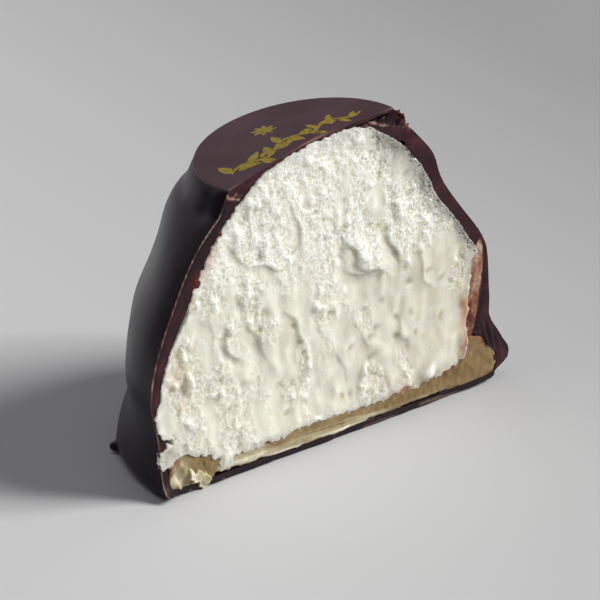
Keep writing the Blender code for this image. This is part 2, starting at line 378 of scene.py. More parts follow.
@dataclass(frozen=True)
class WhippedFoam:
    """Whipped sugar and egg white, torn by the knife: moist, very white and slightly see-through."""

    # The crest tone is partly the white of torn bubble walls and partly painted glints.
    crest_glint: str = "#fffef2"
    body: str = "#f2f1e2"
    # The next three tones are painted shade: the foam darkens through them in its hollows, beneath its lips and towards
    # its right, and patches of that shade are tinted yellow.
    hollow_shade: str = "#d8d5c5"
    deep: str = "#b7b29a"
    shade_yellow: str = "#d8cf92"
    blush: str = "#d8b298"
    smeared: str = "#c27f58"
    dragged: str = "#8c4a30"
    thin: str = "#7c7974"
    pore: str = "#2a2024"

    def material(self) -> bpy.types.Material:
        """Builds the foam's material.

        Returns:
            A white body that scatters light, with brighter curds whose white points are partly painted glints, painted
            glints on its raised crests, painted shade in its hollows, beneath its lips and towards its right, stains
            where the coat touched it, and a grey veil where it lies thinly over the chocolate.
        """
        material, tree, shader = new_material("whipped_marshmallow_torn")
        place = add_node(tree, "TexCoord").outputs["Object"]
        hollow_shade, stain, veil, pore, curd_and_glint = (
            add_node(tree, "Attribute", attribute_name=name).outputs["Fac"]
            for name in ("hollow_shade", "stain", "veil", "pore", "curd_and_glint")
        )
        mottle = add_node(tree, "TexNoise", {"Vector": place, "Scale": per_mm(1.5), "Detail": 5.0})
        # Painted shade: the hollow tone carries the colour from the body into the darker tones of the hollows.
        uneven = add_node(tree, "Math", {0: mottle, 1: 0.5, 2: hollow_shade}, operation="MULTIPLY_ADD")
        depths = ((0.25, self.body), (0.65, self.hollow_shade), (1.0, self.deep))
        colour = add_node(tree, "ValToRGB", {"Fac": uneven}, stops=depths)
        # Painted shade: patches of the shade painted in the hollows are tinted yellower.
        yellow_noise = add_node(tree, "TexNoise", {"Vector": place, "Scale": per_mm(1.1), "Detail": 2.0})
        yellow_patches = add_node(tree, "MapRange", {"Value": yellow_noise, "From Min": 0.54, "From Max": 0.7, "To Max": 0.85})
        yellowed_shade = add_node(tree, "Math", {0: yellow_patches, 1: hollow_shade}, operation="MULTIPLY")
        # White points some tenths of a millimetre apart, where the curd tone is high: partly the white of torn
        # bubble walls, partly painted glints, and on raised crests painted highlights.
        points = add_node(tree, "TexNoise", {"Vector": place, "Scale": per_mm(0.36), "Detail": 1.0})
        white = add_node(tree, "MapRange", {"Value": points, "From Min": 0.45, "From Max": 0.55})
        torn = add_node(tree, "Math", {0: white, 1: curd_and_glint}, operation="MULTIPLY")
        drags = ((0.1, self.blush), (0.5, self.smeared), (1.0, self.dragged))
        stained = add_node(tree, "ValToRGB", {"Fac": stain}, stops=drags)
        covered = add_node(tree, "MapRange", {"Value": stain, "From Max": 0.5})
        layers = ((yellowed_shade, self.shade_yellow), (torn, self.crest_glint), (covered, stained), (veil, self.thin), (pore, self.pore))
        for share, over in layers:
            colour = add_node(tree, "MixRGB", {"Fac": share, "Color1": colour, "Color2": over})
        # The same points are wet and catch the light.
        walls = add_node(tree, "TexNoise", {"Vector": place, "Scale": per_mm(0.42), "Detail": 4.0, "Roughness": 0.6})
        rough = add_node(tree, "Math", {0: curd_and_glint, 1: 0.6, 2: 0.15}, operation="MULTIPLY_ADD")
        knobbly = add_node(tree, "Math", {0: points, 1: 1.2, 2: walls}, operation="MULTIPLY_ADD")
        bump = add_node(tree, "Bump", {"Height": knobbly, "Strength": rough, "Distance": 0.2 * MM})
        set_sockets(shader, {"Base Color": colour, "Normal": bump, "Roughness": 0.5})
        set_sockets(shader, {"Coat Weight": 0.6, "Coat Roughness": 0.1, "Coat Normal": bump})
        set_sockets(shader, {"Subsurface Weight": 1.0, "Subsurface Scale": 1.1 * MM})
        set_sockets(shader, {"Subsurface Radius": (1.0, 0.97, 0.92)})
        return material


@dataclass(frozen=True)
class DippedChocolate:
    """Dark chocolate that ran and set in air: near black, with a soft shine over slow waves."""

    deep: str = "#0f0811"
    light: str = "#1b0f1c"

    def material(self) -> bpy.types.Material:
        """Builds the coat's outer material.

        Returns:
            A near black body with slow ripples and a soft, uneven gloss.
        """
        material, tree, shader = new_material("dark_chocolate_dipped")
        place = add_node(tree, "TexCoord").outputs["Object"]
        cloud = add_node(tree, "TexNoise", {"Vector": place, "Scale": per_mm(7.0), "Detail": 3.0})
        tint = add_node(tree, "ValToRGB", {"Fac": cloud}, stops=((0.3, self.deep), (0.7, self.light)))
        duller = {"Value": cloud, "From Min": 0.3, "From Max": 0.7, "To Min": 0.3, "To Max": 0.4}
        gloss = add_node(tree, "MapRange", duller)
        ripple = add_node(tree, "TexNoise", {"Vector": place, "Scale": per_mm(4.0), "Detail": 1.0})
        bump = add_node(tree, "Bump", {"Height": ripple, "Strength": 0.25, "Distance": 0.25 * MM})
        set_sockets(shader, {"Base Color": tint, "Roughness": gloss, "Normal": bump, "IOR": 1.36})
        return material


@dataclass(frozen=True)
class CutChocolate:
    """Dark chocolate parted by a knife: maroon, waxy, with paler chipping, a painted highlight along its outer
    edge, painted shade in its grooves and hole, and rusty crumbs.
    """

    deep: str = "#210a11"
    body: str = "#33121a"
    light: str = "#4a262e"
    # The line tone is the pale of the knife's chipping and of painted highlights along the coat's outer edge and the
    # disc's cut edge.
    line: str = "#c29a86"
    crumb: str = "#7c3016"
    # The shadow tone darkens the cut where its dark tone is high: painted shade in the hole, seam and groove.
    shadow: str = "#160a10"
    smear_low: str = "#62291c"
    smear_mid: str = "#8f6048"
    smear_high: str = "#b3a08e"

    def material(self) -> bpy.types.Material:
        """Builds the cut chocolate's material.

        Returns:
            A maroon body with a soft drag, crumbs, pale chipping, painted highlights along the edges, painted shade
            from the shadow colour, and a patchy film of foam.
        """
        material, tree, shader = new_material("dark_chocolate_cut")
        place = add_node(tree, "TexCoord").outputs["Object"]
        crumb, pale, smear, dark = (
            add_node(tree, "Attribute", attribute_name=name).outputs["Fac"]
            for name in ("crumb", "pale", "smear", "dark")
        )
        cloud = add_node(tree, "TexNoise", {"Vector": place, "Scale": per_mm(2.2), "Detail": 5.0})
        clouds = ((0.3, self.deep), (0.5, self.body), (0.72, self.light))
        colour = add_node(tree, "ValToRGB", {"Fac": cloud}, stops=clouds)
        grit = add_node(tree, "TexNoise", {"Vector": place, "Scale": per_mm(0.45), "Detail": 3.0})
        broken = add_node(tree, "MapRange", {"Value": grit, "From Min": 0.4, "From Max": 0.62})
        bits = add_node(tree, "Math", {0: broken, 1: crumb}, operation="MULTIPLY")
        # Foam dragged over the chocolate is patchy at half a millimetre.
        speckled = add_node(tree, "Math", {0: grit, 1: 0.9, 2: -0.45}, operation="MULTIPLY_ADD")
        film = add_node(tree, "Math", {0: speckled, 1: smear}, operation="ADD")
        films = ((0.25, self.smear_low), (0.55, self.smear_mid), (0.95, self.smear_high))
        dragged = add_node(tree, "ValToRGB", {"Fac": film}, stops=films)
        covered = add_node(tree, "MapRange", {"Value": smear, "From Min": 0.1, "From Max": 0.4})
        for share, over in ((dark, self.shadow), (bits, self.crumb), (pale, self.line), (covered, dragged)):
            colour = add_node(tree, "MixRGB", {"Fac": share, "Color1": colour, "Color2": over})
        bump = add_node(tree, "Bump", {"Height": grit, "Strength": 0.3, "Distance": 0.08 * MM})
        set_sockets(shader, {"Base Color": colour, "Normal": bump, "Roughness": 0.5, "Specular IOR Level": 0.25})
        return material


@dataclass(frozen=True)
class CutMarzipan:
    """Ground almonds and sugar, pressed and cut: greasy olive brown, darkened by painted shade under the foam,
    smeared pale along its lower edge, where a painted sheen lightens it further.
    """

    # The darkest meal tone, which the painted shade under the foam also reaches.
    oily_and_shaded: str = "#64502b"
    body: str = "#836c42"
    pale: str = "#9e8960"
    cream_and_sheen: str = "#c9c0a0"
    # The brightest smear tone: on the flake and the blob, and as painted highlights along the smear's ridges.
    edge: str = "#eee9d8"
    rust: str = "#8a4a2c"

    def material(self) -> bpy.types.Material:
        """Builds the marzipan's material.

        Returns:
            A greasy body with fine meal in it, darkened by painted shade under the foam; a pale smear, partly painted
            sheen, with a brighter painted highlight along its ridge; and rusty drags.
        """
        material, tree, shader = new_material("marzipan_cut")
        place = add_node(tree, "TexCoord").outputs["Object"]
        cream_and_sheen, rust, oil_and_shade = (
            add_node(tree, "Attribute", attribute_name=name).outputs["Fac"] for name in ("cream_and_sheen", "rust", "oil_and_shade")
        )
        meal = add_node(tree, "TexNoise", {"Vector": place, "Scale": per_mm(1.8), "Detail": 7.0, "Roughness": 0.65})
        # Painted shade: the tone subtracted here darkens the meal under the foam, as well as in greasy patches.
        darkened_meal = add_node(tree, "Math", {0: meal, 1: oil_and_shade}, operation="SUBTRACT")
        meals = ((0.22, self.oily_and_shaded), (0.5, self.body), (0.78, self.pale))
        colour = add_node(tree, "ValToRGB", {"Fac": darkened_meal}, stops=meals)
        smear = add_node(tree, "ValToRGB", {"Fac": cream_and_sheen}, stops=((0.6, self.cream_and_sheen), (1.0, self.edge)))
        covered = add_node(tree, "MapRange", {"Value": cream_and_sheen, "From Min": 0.1, "From Max": 0.6})
        for share, over in ((covered, smear), (rust, self.rust)):
            colour = add_node(tree, "MixRGB", {"Fac": share, "Color1": colour, "Color2": over})
        grain = add_node(tree, "TexNoise", {"Vector": place, "Scale": per_mm(0.45), "Detail": 3.0})
        bump = add_node(tree, "Bump", {"Height": grain, "Strength": 0.4, "Distance": 0.1 * MM})
        set_sockets(shader, {"Base Color": colour, "Normal": bump, "Roughness": 0.42})
        set_sockets(shader, {"Subsurface Weight": 0.6, "Subsurface Scale": 0.6 * MM})
        set_sockets(shader, {"Subsurface Radius": (1.0, 0.75, 0.35)})
        return material


@dataclass(frozen=True)
class MouldedChocolate:
    """Dark chocolate set on a plastic sheet: flat, satin and greyer than the dipped coat."""

    deep: str = "#473236"
    body: str = "#523c42"
    # Painted highlight: the next tone lightens the top edge of the cut.
    edge_highlight: str = "#b4897a"

    def material(self) -> bpy.types.Material:
        """Builds the disc's material.

        Returns:
            A satin body with a faint bloom, and a painted highlight along its cut edge.
        """
        material, tree, shader = new_material("dark_chocolate_moulded")
        place = add_node(tree, "TexCoord").outputs["Object"]
        bloom = add_node(tree, "TexNoise", {"Vector": place, "Scale": per_mm(5.0), "Detail": 6.0})
        tint = add_node(tree, "ValToRGB", {"Fac": bloom}, stops=((0.35, self.deep), (0.65, self.body)))
        # Painted highlight: the pale tone lightens the top edge of the cut.
        pale = add_node(tree, "Attribute", attribute_name="pale").outputs["Fac"]
        edge_highlighted = add_node(tree, "MixRGB", {"Fac": pale, "Color1": tint, "Color2": self.edge_highlight})
        fine = add_node(tree, "TexNoise", {"Vector": place, "Scale": per_mm(0.3), "Detail": 2.0})
        bump = add_node(tree, "Bump", {"Height": fine, "Strength": 0.15, "Distance": 0.03 * MM})
        set_sockets(shader, {"Base Color": edge_highlighted, "Normal": bump, "Roughness": 0.5, "Specular IOR Level": 0.35})
        return material


@dataclass(frozen=True)
class GoldTransfer:
    """Cocoa butter coloured with gold pearl, printed on the disc: olive gold and barely shiny."""

    deep: str = "#8a771e"
    light: str = "#a8963a"

    def material(self) -> bpy.types.Material:
        """Builds the print's material.

        Returns:
            A film of olive gold with a fine pearl in it.
        """
        material, tree, shader = new_material("gold_cocoa_butter_transfer")
        place = add_node(tree, "TexCoord").outputs["Object"]
        pearl = add_node(tree, "TexNoise", {"Vector": place, "Scale": per_mm(0.35), "Detail": 3.0})
        tint = add_node(tree, "ValToRGB", {"Fac": pearl}, stops=((0.35, self.deep), (0.65, self.light)))
        set_sockets(shader, {"Base Color": tint, "Roughness": 0.45, "Metallic": 0.15})
        return material


# ---------------------------------------------------------------------------------------------------------
# The cut


@dataclass(frozen=True)
class CutPlane:
    """Even grid of points over the cut, on which the relief of each layer is worked out."""

    left: float = -29.0
    low: float = -1.25
    pitch: float = 0.125
    columns: int = 464
    rows: int = 340
    coarse: int = 4  # slow distances are worked out at every fourth point

    def points(self) -> tuple[Grid, Grid]:
        """Lays out the grid.

        Returns:
            X and Z of every point, row by row from the bottom.
        """
        x = self.left + self.pitch * np.arange(self.columns)
        z = self.low + self.pitch * np.arange(self.rows)
        return np.meshgrid(x, z)

    def blurred(self, values: Grid, across: float, up: float | None = None, lean: float = 0.0) -> Grid:
        """Blurs a field.

        Args:
            values: the field.
            across: spread along X, in millimetres.
            up: spread along Z, or the same as across.
            lean: how far the blur turns to the right from upright, in degrees.

        Returns:
            The blurred field.
        """
        fx = np.fft.rfftfreq(self.columns, self.pitch)[None, :]
        fz = np.fft.fftfreq(self.rows, self.pitch)[:, None]
        turn = math.radians(lean)
        along = fz * math.cos(turn) + fx * math.sin(turn)
        beside = fx * math.cos(turn) - fz * math.sin(turn)
        spread = (beside * across) ** 2 + (along * (up or across)) ** 2
        kept = np.fft.rfft2(values) * np.exp(-2.0 * math.pi**2 * spread)
        return np.fft.irfft2(kept, s=values.shape)

    def grain(self, seed: int, across: float, up: float | None = None, lean: float = 0.0) -> Grid:
        """Draws soft random unevenness.

        Args:
            seed: start of the random numbers.
            across: spread of its grains along X, in millimetres.
            up: spread along Z, or the same as across.
            lean: how far the grains turn to the right from upright, in degrees.

        Returns:
            Unevenness whose usual size is 1.
        """
        raw = np.random.default_rng(seed).standard_normal((self.rows, self.columns))
        soft = self.blurred(raw, across, up, lean)
        return (soft - soft.mean()) / soft.std()

    def puffs(self, seed: int, across: float, up: float | None = None, lean: float = 0.0) -> Grid:
        """Returns unevenness like grain's, but with round puffs over flatter hollows."""
        raised = np.exp(0.7 * self.grain(seed, across, up, lean))
        return (raised - raised.mean()) / raised.std()

    def webs(self, seed: int, across: float, up: float | None = None, lean: float = 0.0) -> Grid:
        """Returns unevenness like the walls between opened bubbles: 1 on a wall and near 0 between walls."""
        return np.exp(-2.2 * np.abs(self.grain(seed, across, up, lean)))

    def bubbles(self, seed: int, size: float, warp: float) -> tuple[Grid, Grid]:
        """Scatters one bubble in each cell.

        Args:
            seed: start of the random numbers.
            size: width of a cell in millimetres.
            warp: how far the bubbles are pulled out of round, in millimetres.

        Returns:
            Distance from each point to the nearest bubble's middle in cells, and that bubble's own random
            number from 0 to 1.
        """
        x, z = self.points()
        x = x + warp * self.grain(seed + 1, size * 0.8)
        z = z + warp * self.grain(seed + 2, size * 0.8)
        u, v = (x - self.left) / size + 2.0, (z - self.low) / size + 2.0
        wide = int(self.columns * self.pitch / size) + 8
        high = int(self.rows * self.pitch / size) + 8
        jitter = np.random.default_rng(seed).random((3, high, wide))
        iu, iv = np.clip(u.astype(int), 1, wide - 2), np.clip(v.astype(int), 1, high - 2)
        nearest = np.full(x.shape, FAR)
        own = np.zeros(x.shape)
        for di in (-1, 0, 1):
            for dj in (-1, 0, 1):
                ci, cj = iu + di, iv + dj
                gap = np.hypot(u - ci - jitter[0, cj, ci], v - cj - jitter[1, cj, ci])
                closer = gap < nearest
                nearest = np.where(closer, gap, nearest)
                own = np.where(closer, jitter[2, cj, ci], own)
        return nearest, own

    def spot(self, at: Spot, spread: float, wide: float = 1.0, tall: float = 1.0) -> Grid:
        """Returns a round bump, 1 at a point of the cut, stretched along X by wide and along Z by tall."""
        x, z = self.points()
        return bell(np.hypot((x - at[0]) / wide, (z - at[1]) / tall), spread)

    def near_path(self, *corners: Spot) -> Grid:
        """Measures how far each point is from a path of straight lines.

        Args:
            corners: the path's corners as X and Z.

        Returns:
            The distances in millimetres.
        """
        x, z = self.points()
        near = np.full(x.shape, FAR)
        for start, end in zip(corners, corners[1:]):
            way = np.subtract(end, start)
            share = unit(((x - start[0]) * way[0] + (z - start[1]) * way[1]) / (way @ way))
            near = np.minimum(near, np.hypot(x - start[0] - share * way[0], z - start[1] - share * way[1]))
        return near

    def within(self, corners: Corners, easing: float = 0.2) -> Grid:
        """Measures how deep each point lies inside an outline.

        Args:
            corners: the outline's corners as X and Z.
            easing: how much its corners are rounded, in millimetres.

        Returns:
            Distance to the outline, positive inside it and negative outside.
        """
        x, z = self.points()
        inside = np.zeros(x.shape, dtype=bool)
        for start, end in zip(corners, corners[1:] + corners[:1]):
            if start[1] != end[1]:
                spans = (start[1] > z) != (end[1] > z)
                crossing = start[0] + (z - start[1]) * (end[0] - start[0]) / (end[1] - start[1])
                inside ^= spans & (x < crossing)
        near = self.near_path(*corners, corners[0])
        return self.blurred(np.where(inside, near, -near), easing)

    def distance(self, outline: Grid) -> Grid:
        """Measures how far each point is from an edge, on a coarser grid that is filled in.

        Args:
            outline: points close together along the edge, as X and Z.

        Returns:
            The distances in millimetres.
        """
        tree = kdtree.KDTree(len(outline))
        for i, (x, z) in enumerate(outline):
            tree.insert((x, z, 0.0), i)
        tree.balance()
        x_line = self.left + self.pitch * np.arange(0, self.columns + self.coarse, self.coarse)
        z_line = self.low + self.pitch * np.arange(0, self.rows + self.coarse, self.coarse)
        near = np.array([[tree.find((x, z, 0.0))[2] for x in x_line] for z in z_line])
        x, z = self.points()
        r, c = (z - self.low) / self.pitch / self.coarse, (x - self.left) / self.pitch / self.coarse
        r0, c0 = r.astype(int), c.astype(int)
        fr, fc = r - r0, c - c0
        low = near[r0, c0] * (1 - fc) + near[r0, c0 + 1] * fc
        high = near[r0 + 1, c0] * (1 - fc) + near[r0 + 1, c0 + 1] * fc
        return low * (1 - fr) + high * fr


PLANE = CutPlane()
X, Z = PLANE.points()


@dataclass
class Relief:
    """What the knife leaves of a layer: how far each point stands forward and leans, and its tones."""

    forward: Grid
    across: Grid | float = 0.0
    up: Grid | float = 0.0
    tones: dict[str, Grid] = field(default_factory=dict)


@dataclass
class Knife:
    """Block that slices a layer, leaving the layer's relief on the cut."""

    depth: float = 34.0
    margin: float = 0.4

    def block(self, relief: Relief) -> bpy.types.Object:
        """Models the block as a fine upright sheet that is extruded back through the sweet.

        Args:
            relief: how the layer's cut looks.

        Returns:
            The block.
        """
        block = start_from(
            bpy.ops.mesh.primitive_grid_add, x_subdivisions=PLANE.columns - 1, y_subdivisions=PLANE.rows - 1
        )
        fade = step(0.0, self.margin, np.minimum.reduce((X - X.min(), X.max() - X, Z - Z.min(), Z.max() - Z)))
        sheet = np.stack((X + relief.across * fade, -relief.forward * fade, Z + relief.up * fade), axis=-1)
        place_points(block, sheet)
        for name, values in relief.tones.items():
            write_tone(block, name, np.broadcast_to(values, X.shape).ravel())
        with editing(block, "EDGE"):
            pick_rims()
            push_out(bpy.ops.mesh.extrude_edges_move, self.depth)
            bpy.ops.mesh.edge_face_add()
            face_outwards()
        return block

    def slice(self, layer: bpy.types.Object, relief: Relief) -> None:
        """Keeps the part of a closed layer that is behind the knife's face."""
        combine(layer, self.block(relief), "INTERSECT")


@dataclass(frozen=True)
class Lump:
    """Rough blob that is part of a layer: its middle and half axes in millimetres, and how uneven it is."""

    middle: tuple[float, float, float]
    half: tuple[float, float, float]
    turn: float = 0.0  # in the plane of the cut, in degrees
    rough: float = 0.25
    grain: float = 0.7

    def model(self, seed: int) -> bpy.types.Object:
        """Models the blob from a ball that is stretched, turned and roughened.

        Args:
            seed: makes one blob's unevenness differ from the next.

        Returns:
            The blob.
        """
        blob = start_from(bpy.ops.mesh.primitive_ico_sphere_add, subdivisions=5, radius=1.0)
        points = points_of(blob) * self.half
        for i, point in enumerate(points):
            spot = Vector(point) / self.grain + Vector((seed * 3.7, 1.3, 2.1))
            bump = noise.noise(spot) + 0.5 * noise.noise(spot * 2.3)
            points[i] *= 1.0 + self.rough * bump / max(np.linalg.norm(point), 0.3)
        place_points(blob, points)
        blob.data.transform(Matrix.Translation(self.middle) @ Matrix.Rotation(math.radians(-self.turn), 4, "Y"))
        return blob


@dataclass(frozen=True)
class Slab:
    """Thin slab of a layer that fills an outline in the cut, so that the layer reaches its full outline there."""

    corners: Corners
    front: float = 2.3
    back: float = 0.45
    margin: float = 0.35  # beyond the outline, for the knife to trim
    taper: float = 1.0  # size of the back face against the front one
    mitre: float = 0.7  # keeps the margin's sharp corners short
    stagger: float = 0.013  # keeps the backs of two slabs from lying in one plane

    def model(self, seed: int) -> bpy.types.Object:
        """Models the slab from a flat outline that is extruded through the cut.

        Args:
            seed: the slab's number in its layer.

        Returns:
            The slab.
        """
        spots = np.array(self.corners)
        ahead = np.roll(spots, -1, axis=0) - spots
        ahead /= np.linalg.norm(ahead, axis=1, keepdims=True)
        turning = np.cross(ahead, np.roll(ahead, -1, axis=0)).sum()
        out = (ahead + np.roll(ahead, 1, axis=0)) @ np.array([[0.0, -1.0], [1.0, 0.0]]) * np.sign(turning)
        spots = spots + self.margin * out / np.maximum(np.linalg.norm(out, axis=1, keepdims=True), self.mitre)
        slab = start_from(bpy.ops.mesh.primitive_circle_add, vertices=len(spots), radius=1.0, fill_type="NGON")
        place_points(slab, np.stack((spots[:, 0], np.full(len(spots), -self.front), spots[:, 1]), axis=-1))
        x, z = spots.mean(axis=0)
        with editing(slab, everything=True):
            push_out(bpy.ops.mesh.extrude_region_move, self.front + self.back + self.stagger * seed)
            bpy.ops.transform.resize(value=(self.taper, 1.0, self.taper), center_override=(x, 0.0, z))
            face_outwards()
        return slab


def join_lumps(piece: bpy.types.Object, lumps: tuple[Lump | Slab, ...]) -> None:
    """Joins blobs and slabs to a closed layer."""
    for seed, lump in enumerate(lumps, 1):
        combine(piece, lump.model(seed), "UNION")


@dataclass
class CutLayer:
    """A layer with a torn or smeared edge: its solid, opened at the cut and carried a little past it."""

    node: str
    piece_name: str
    slot: str
    finish: WhippedFoam | CutMarzipan
    outline: Corners
    backing: float = 0.45  # thickness of the slab behind the cut
    kept: float = 1.0  # share of the sliced mesh that stays, which keeps the piece light
    smoothing: int = 2
    rim_cuts: int = 2
    rows: tuple[float, ...] = (0.25, 0.25, 0.25, 0.25, 0.3, 0.5, 0.7)
    opening: float = 1.8  # how deep the solid is opened where its cut face sinks in
    forwards: float = 0.02  # what lies in front of this Y is rim

    def swell(self, point: Vector) -> float:
        """Returns how far the layer's edge is pushed out at a point of its rim, in millimetres."""
        raise NotImplementedError

    def relief(self) -> Relief:
        """Returns the layer's cut face."""
        raise NotImplementedError

    def solid(self) -> bpy.types.Object:
        """Opens the copy at the cut, smooths it, and carries its rim forward.

        Returns:
            The closed solid.
        """
        piece = merged_copy(self.node, self.piece_name)
        with editing(piece):
            pick_faces(piece, lambda face: face.normal.y < -0.3 and face.calc_center_median().y < self.opening)
            bpy.ops.mesh.delete(type="FACE")
        apply_modifier(piece, "SUBSURF", levels=self.smoothing, render_levels=self.smoothing)
        with editing(piece, "EDGE"):
            pick_rims()
            bpy.ops.mesh.subdivide(number_cuts=self.rim_cuts)
            pick_rims()
            for row in self.rows:
                push_out(bpy.ops.mesh.extrude_edges_move, -row)
        self.ruffle(piece)
        with editing(piece, "EDGE"):
            pick_rims()
            bpy.ops.mesh.edge_face_add()
            face_outwards()
        return piece

    def ruffle(self, piece: bpy.types.Object) -> None:
        """Pushes the rim and its rows out by the layer's own unevenness.

        Args:
            piece: the open solid.
        """
        points = points_of(piece)
        away = normals_of(piece)
        away[:, 1] = 0.0
        away /= np.maximum(np.linalg.norm(away, axis=1, keepdims=True), 1e-6)
        for i in np.flatnonzero(points[:, 1] < self.forwards):
            points[i] += away[i] * self.swell(Vector(points[i]))
        place_points(piece, points)

    def build(self, knife: Knife) -> bpy.types.Object:
        """Builds the layer, slices it, dresses it and puts it in its place.

        Args:
            knife: what slices it.

        Returns:
            The finished layer.
        """
        piece = self.solid()
        join_lumps(piece, (Slab(self.outline, back=self.backing),))
        knife.slice(piece, self.relief())
        if self.kept < 1.0:
            apply_modifier(piece, "DECIMATE", ratio=self.kept)
        dress(piece, self.finish.material())
        settle(piece, self.node)
        return piece


# ---------------------------------------------------------------------------------------------------------
# The sweet


@dataclass(frozen=True)
class TornLip:
    """Curled lip of foam that the knife pulled up: its middle, its direction and its size."""

    x: float
    z: float
    turn: float  # direction of the crest, in degrees from X
    half_length: float
    reach: float
    shade: float  # width of the hollow beneath


@dataclass
class MarshmallowFoam(CutLayer):
    """Whipped foam that fills the dome."""

    node: str = "marshmallow_foam"
    piece_name: str = "foam_torn"
    slot: str = "whipped_foam"
    finish: WhippedFoam = field(default_factory=WhippedFoam)
    kept: float = 0.88
    outline: Corners = (
        (-27.2, 8.8), (-27.1, 9.6), (-27.2, 10.5), (-26.6, 11.7), (-26.4, 13.4), (-25.8, 16.2), (-24.6, 18.7),
        (-23.5, 20.8), (-22.5, 22.3), (-21.4, 24.8), (-20.4, 26.4), (-19.7, 28.0), (-18.3, 30.0), (-16.4, 31.9),
        (-14.3, 33.9), (-12.9, 35.2), (-10.6, 36.5), (-7.6, 37.4), (-3.5, 38.3), (0.5, 38.6), (2.6, 38.5), (5.0, 37.8),
        (7.5, 36.4), (10.0, 34.5), (12.5, 31.7), (14.0, 29.5), (15.5, 26.8), (17.9, 24.1), (20.3, 20.9), (22.3, 18.2),
        (21.4, 16.6), (20.9, 13.0), (20.6, 10.0), (20.8, 6.6), (20.5, 4.8), (17.6, 3.5), (12.4, 2.95), (7.0, 2.9),
        (0.7, 2.9), (-4.6, 3.0), (-9.1, 2.7), (-12.8, 2.3), (-15.8, 2.9), (-17.1, 1.5), (-17.7, 1.4), (-18.1, 3.1),
        (-20.2, 4.0), (-22.3, 4.6), (-24.0, 5.1), (-24.7, 4.6), (-25.3, 3.95), (-26.1, 4.0), (-26.5, 3.6), (-26.6, 5.0),
        (-26.75, 6.1), (-26.3, 6.5), (-25.6, 6.9), (-24.7, 6.9), (-24.6, 7.3), (-24.9, 7.65), (-25.4, 7.75),
        (-25.9, 7.4), (-26.15, 7.6), (-26.5, 8.3),
    )
    lips: tuple[TornLip, ...] = (
        TornLip(3.2, 22.2, -50.0, 4.2, 0.5, 2.2),
        TornLip(-6.4, 27.4, -76.0, 3.2, 0.3, 1.2),
        TornLip(7.9, 22.6, -74.0, 3.2, 0.25, 1.1),
        TornLip(-11.9, 17.0, -66.0, 3.2, 0.28, 1.4),
        TornLip(-6.4, 16.3, -51.0, 2.8, 0.28, 1.4),
        TornLip(3.1, 20.6, -24.0, 1.9, 0.3, 1.7),
        TornLip(-15.1, 28.1, -60.0, 2.2, 0.22, 1.1),
        TornLip(-15.9, 16.6, -64.0, 2.2, 0.25, 1.2),
        TornLip(13.7, 18.4, -76.0, 3.2, 0.18, 1.2),
        TornLip(-0.1, 11.4, -67.0, 2.8, 0.2, 1.2),
        TornLip(10.6, 11.0, -73.0, 2.8, 0.18, 1.1),
        TornLip(4.4, 12.0, -66.0, 2.2, 0.18, 1.1),
        TornLip(-10.5, 25.2, -16.0, 2.4, 0.35, 1.8),
        TornLip(-19.5, 20.5, -70.0, 2.0, 0.2, 1.0),
    )

    def swell(self, point: Vector) -> float:
        """Returns how far the foam's edge is pushed out at a point of its rim, in millimetres."""
        return 0.5 + 0.1 * noise.noise(point)

    def relief(self) -> Relief:
        """Works out the torn face.

        Returns:
            Curds, drags, curled lips and open bubbles, with the tones of painted shade in the hollows, of curds with
            painted glints on their crests, of stains and of thin foam.
        """
        low, upper = fall(5.5, 9.0, Z), step(18.0, 26.0, Z)
        shoulder = step(14.0, 20.0, Z) * step(2.0, 7.0, X)
        fray = (0.07 * PLANE.grain(21, 0.2) + 0.09 * PLANE.grain(22, 0.7)) * (1.0 - 0.55 * shoulder)
        edge = PLANE.within(self.outline) + fray + 0.1 * low * PLANE.grain(23, 0.16)
        lips, shade = self.torn_lips()
        pits = self.hollows()
        pores = self.pores(edge, unit(shoulder + 0.35 * (X < -22.0) * low))
        curds = self.curds(shade)
        walls = PLANE.webs(3, 0.3, 0.38, -10.0)

        # Curds are webbed and knobbly. Between them the knife has smoothed the foam into long drags.
        knobs = 0.08 * walls + 0.05 * PLANE.webs(4, 0.16) + 0.1 * PLANE.puffs(9, 0.4, 0.5)
        knobs += 0.03 * PLANE.grain(12, 0.16)
        drags = 0.075 * PLANE.puffs(5, 0.6, 0.9, -8.0) + 0.015 * PLANE.grain(7, 0.3, 0.9, -8.0)
        forward = 0.12 + 0.15 * PLANE.grain(1, 2.6) + 0.06 * PLANE.grain(2, 0.6, 1.7, -12.0)
        forward += curds * knobs + (1.0 - curds) * drags + lips - 0.12 * pits
        rim = bell(np.maximum(edge, 0.0), 0.8)
        forward = forward * (1.0 - rim) + rim * (0.16 + 0.05 * PLANE.grain(8, 0.3))
        forward = np.clip(forward - 0.1 * pores, -1.2, 0.95)

        # Painted shade: the hollow tone darkens the foam where it lies below its surroundings, beneath the lips, in
        # open bubbles and towards the right, and also lower down and in the curds. Painted highlight: raised crests get
        # glints through the curd tone.
        around = PLANE.blurred(forward, 0.6)
        crest_glint = unit((forward - around) / 0.14)
        hollow_shade = 0.1 + 0.1 * step(2.0, 20.0, X) + 1.1 * (around - forward) + 0.1 * shade + 0.25 * pits
        hollow_shade += curds * 0.12 + (0.1 + 0.08 * step(-2.0, 8.0, X)) * (1.0 - upper)
        tones = {
            "hollow_shade": unit(hollow_shade),
            "stain": self.stains(edge),
            "veil": self.veil(edge, shoulder, low),
            "pore": pores,
            "curd_and_glint": unit((curds * (0.5 + 0.5 * walls) + 0.7 * crest_glint) * (0.5 + 0.6 * upper)),
        }
        lean = forward - PLANE.blurred(forward, 1.0)
        kept = step(-0.12, 0.03, edge)
        forward = forward * kept - BEHIND * (1.0 - kept)
        return Relief(forward, across=0.1 * lean * kept, up=-0.3 * lean * kept, tones=tones)

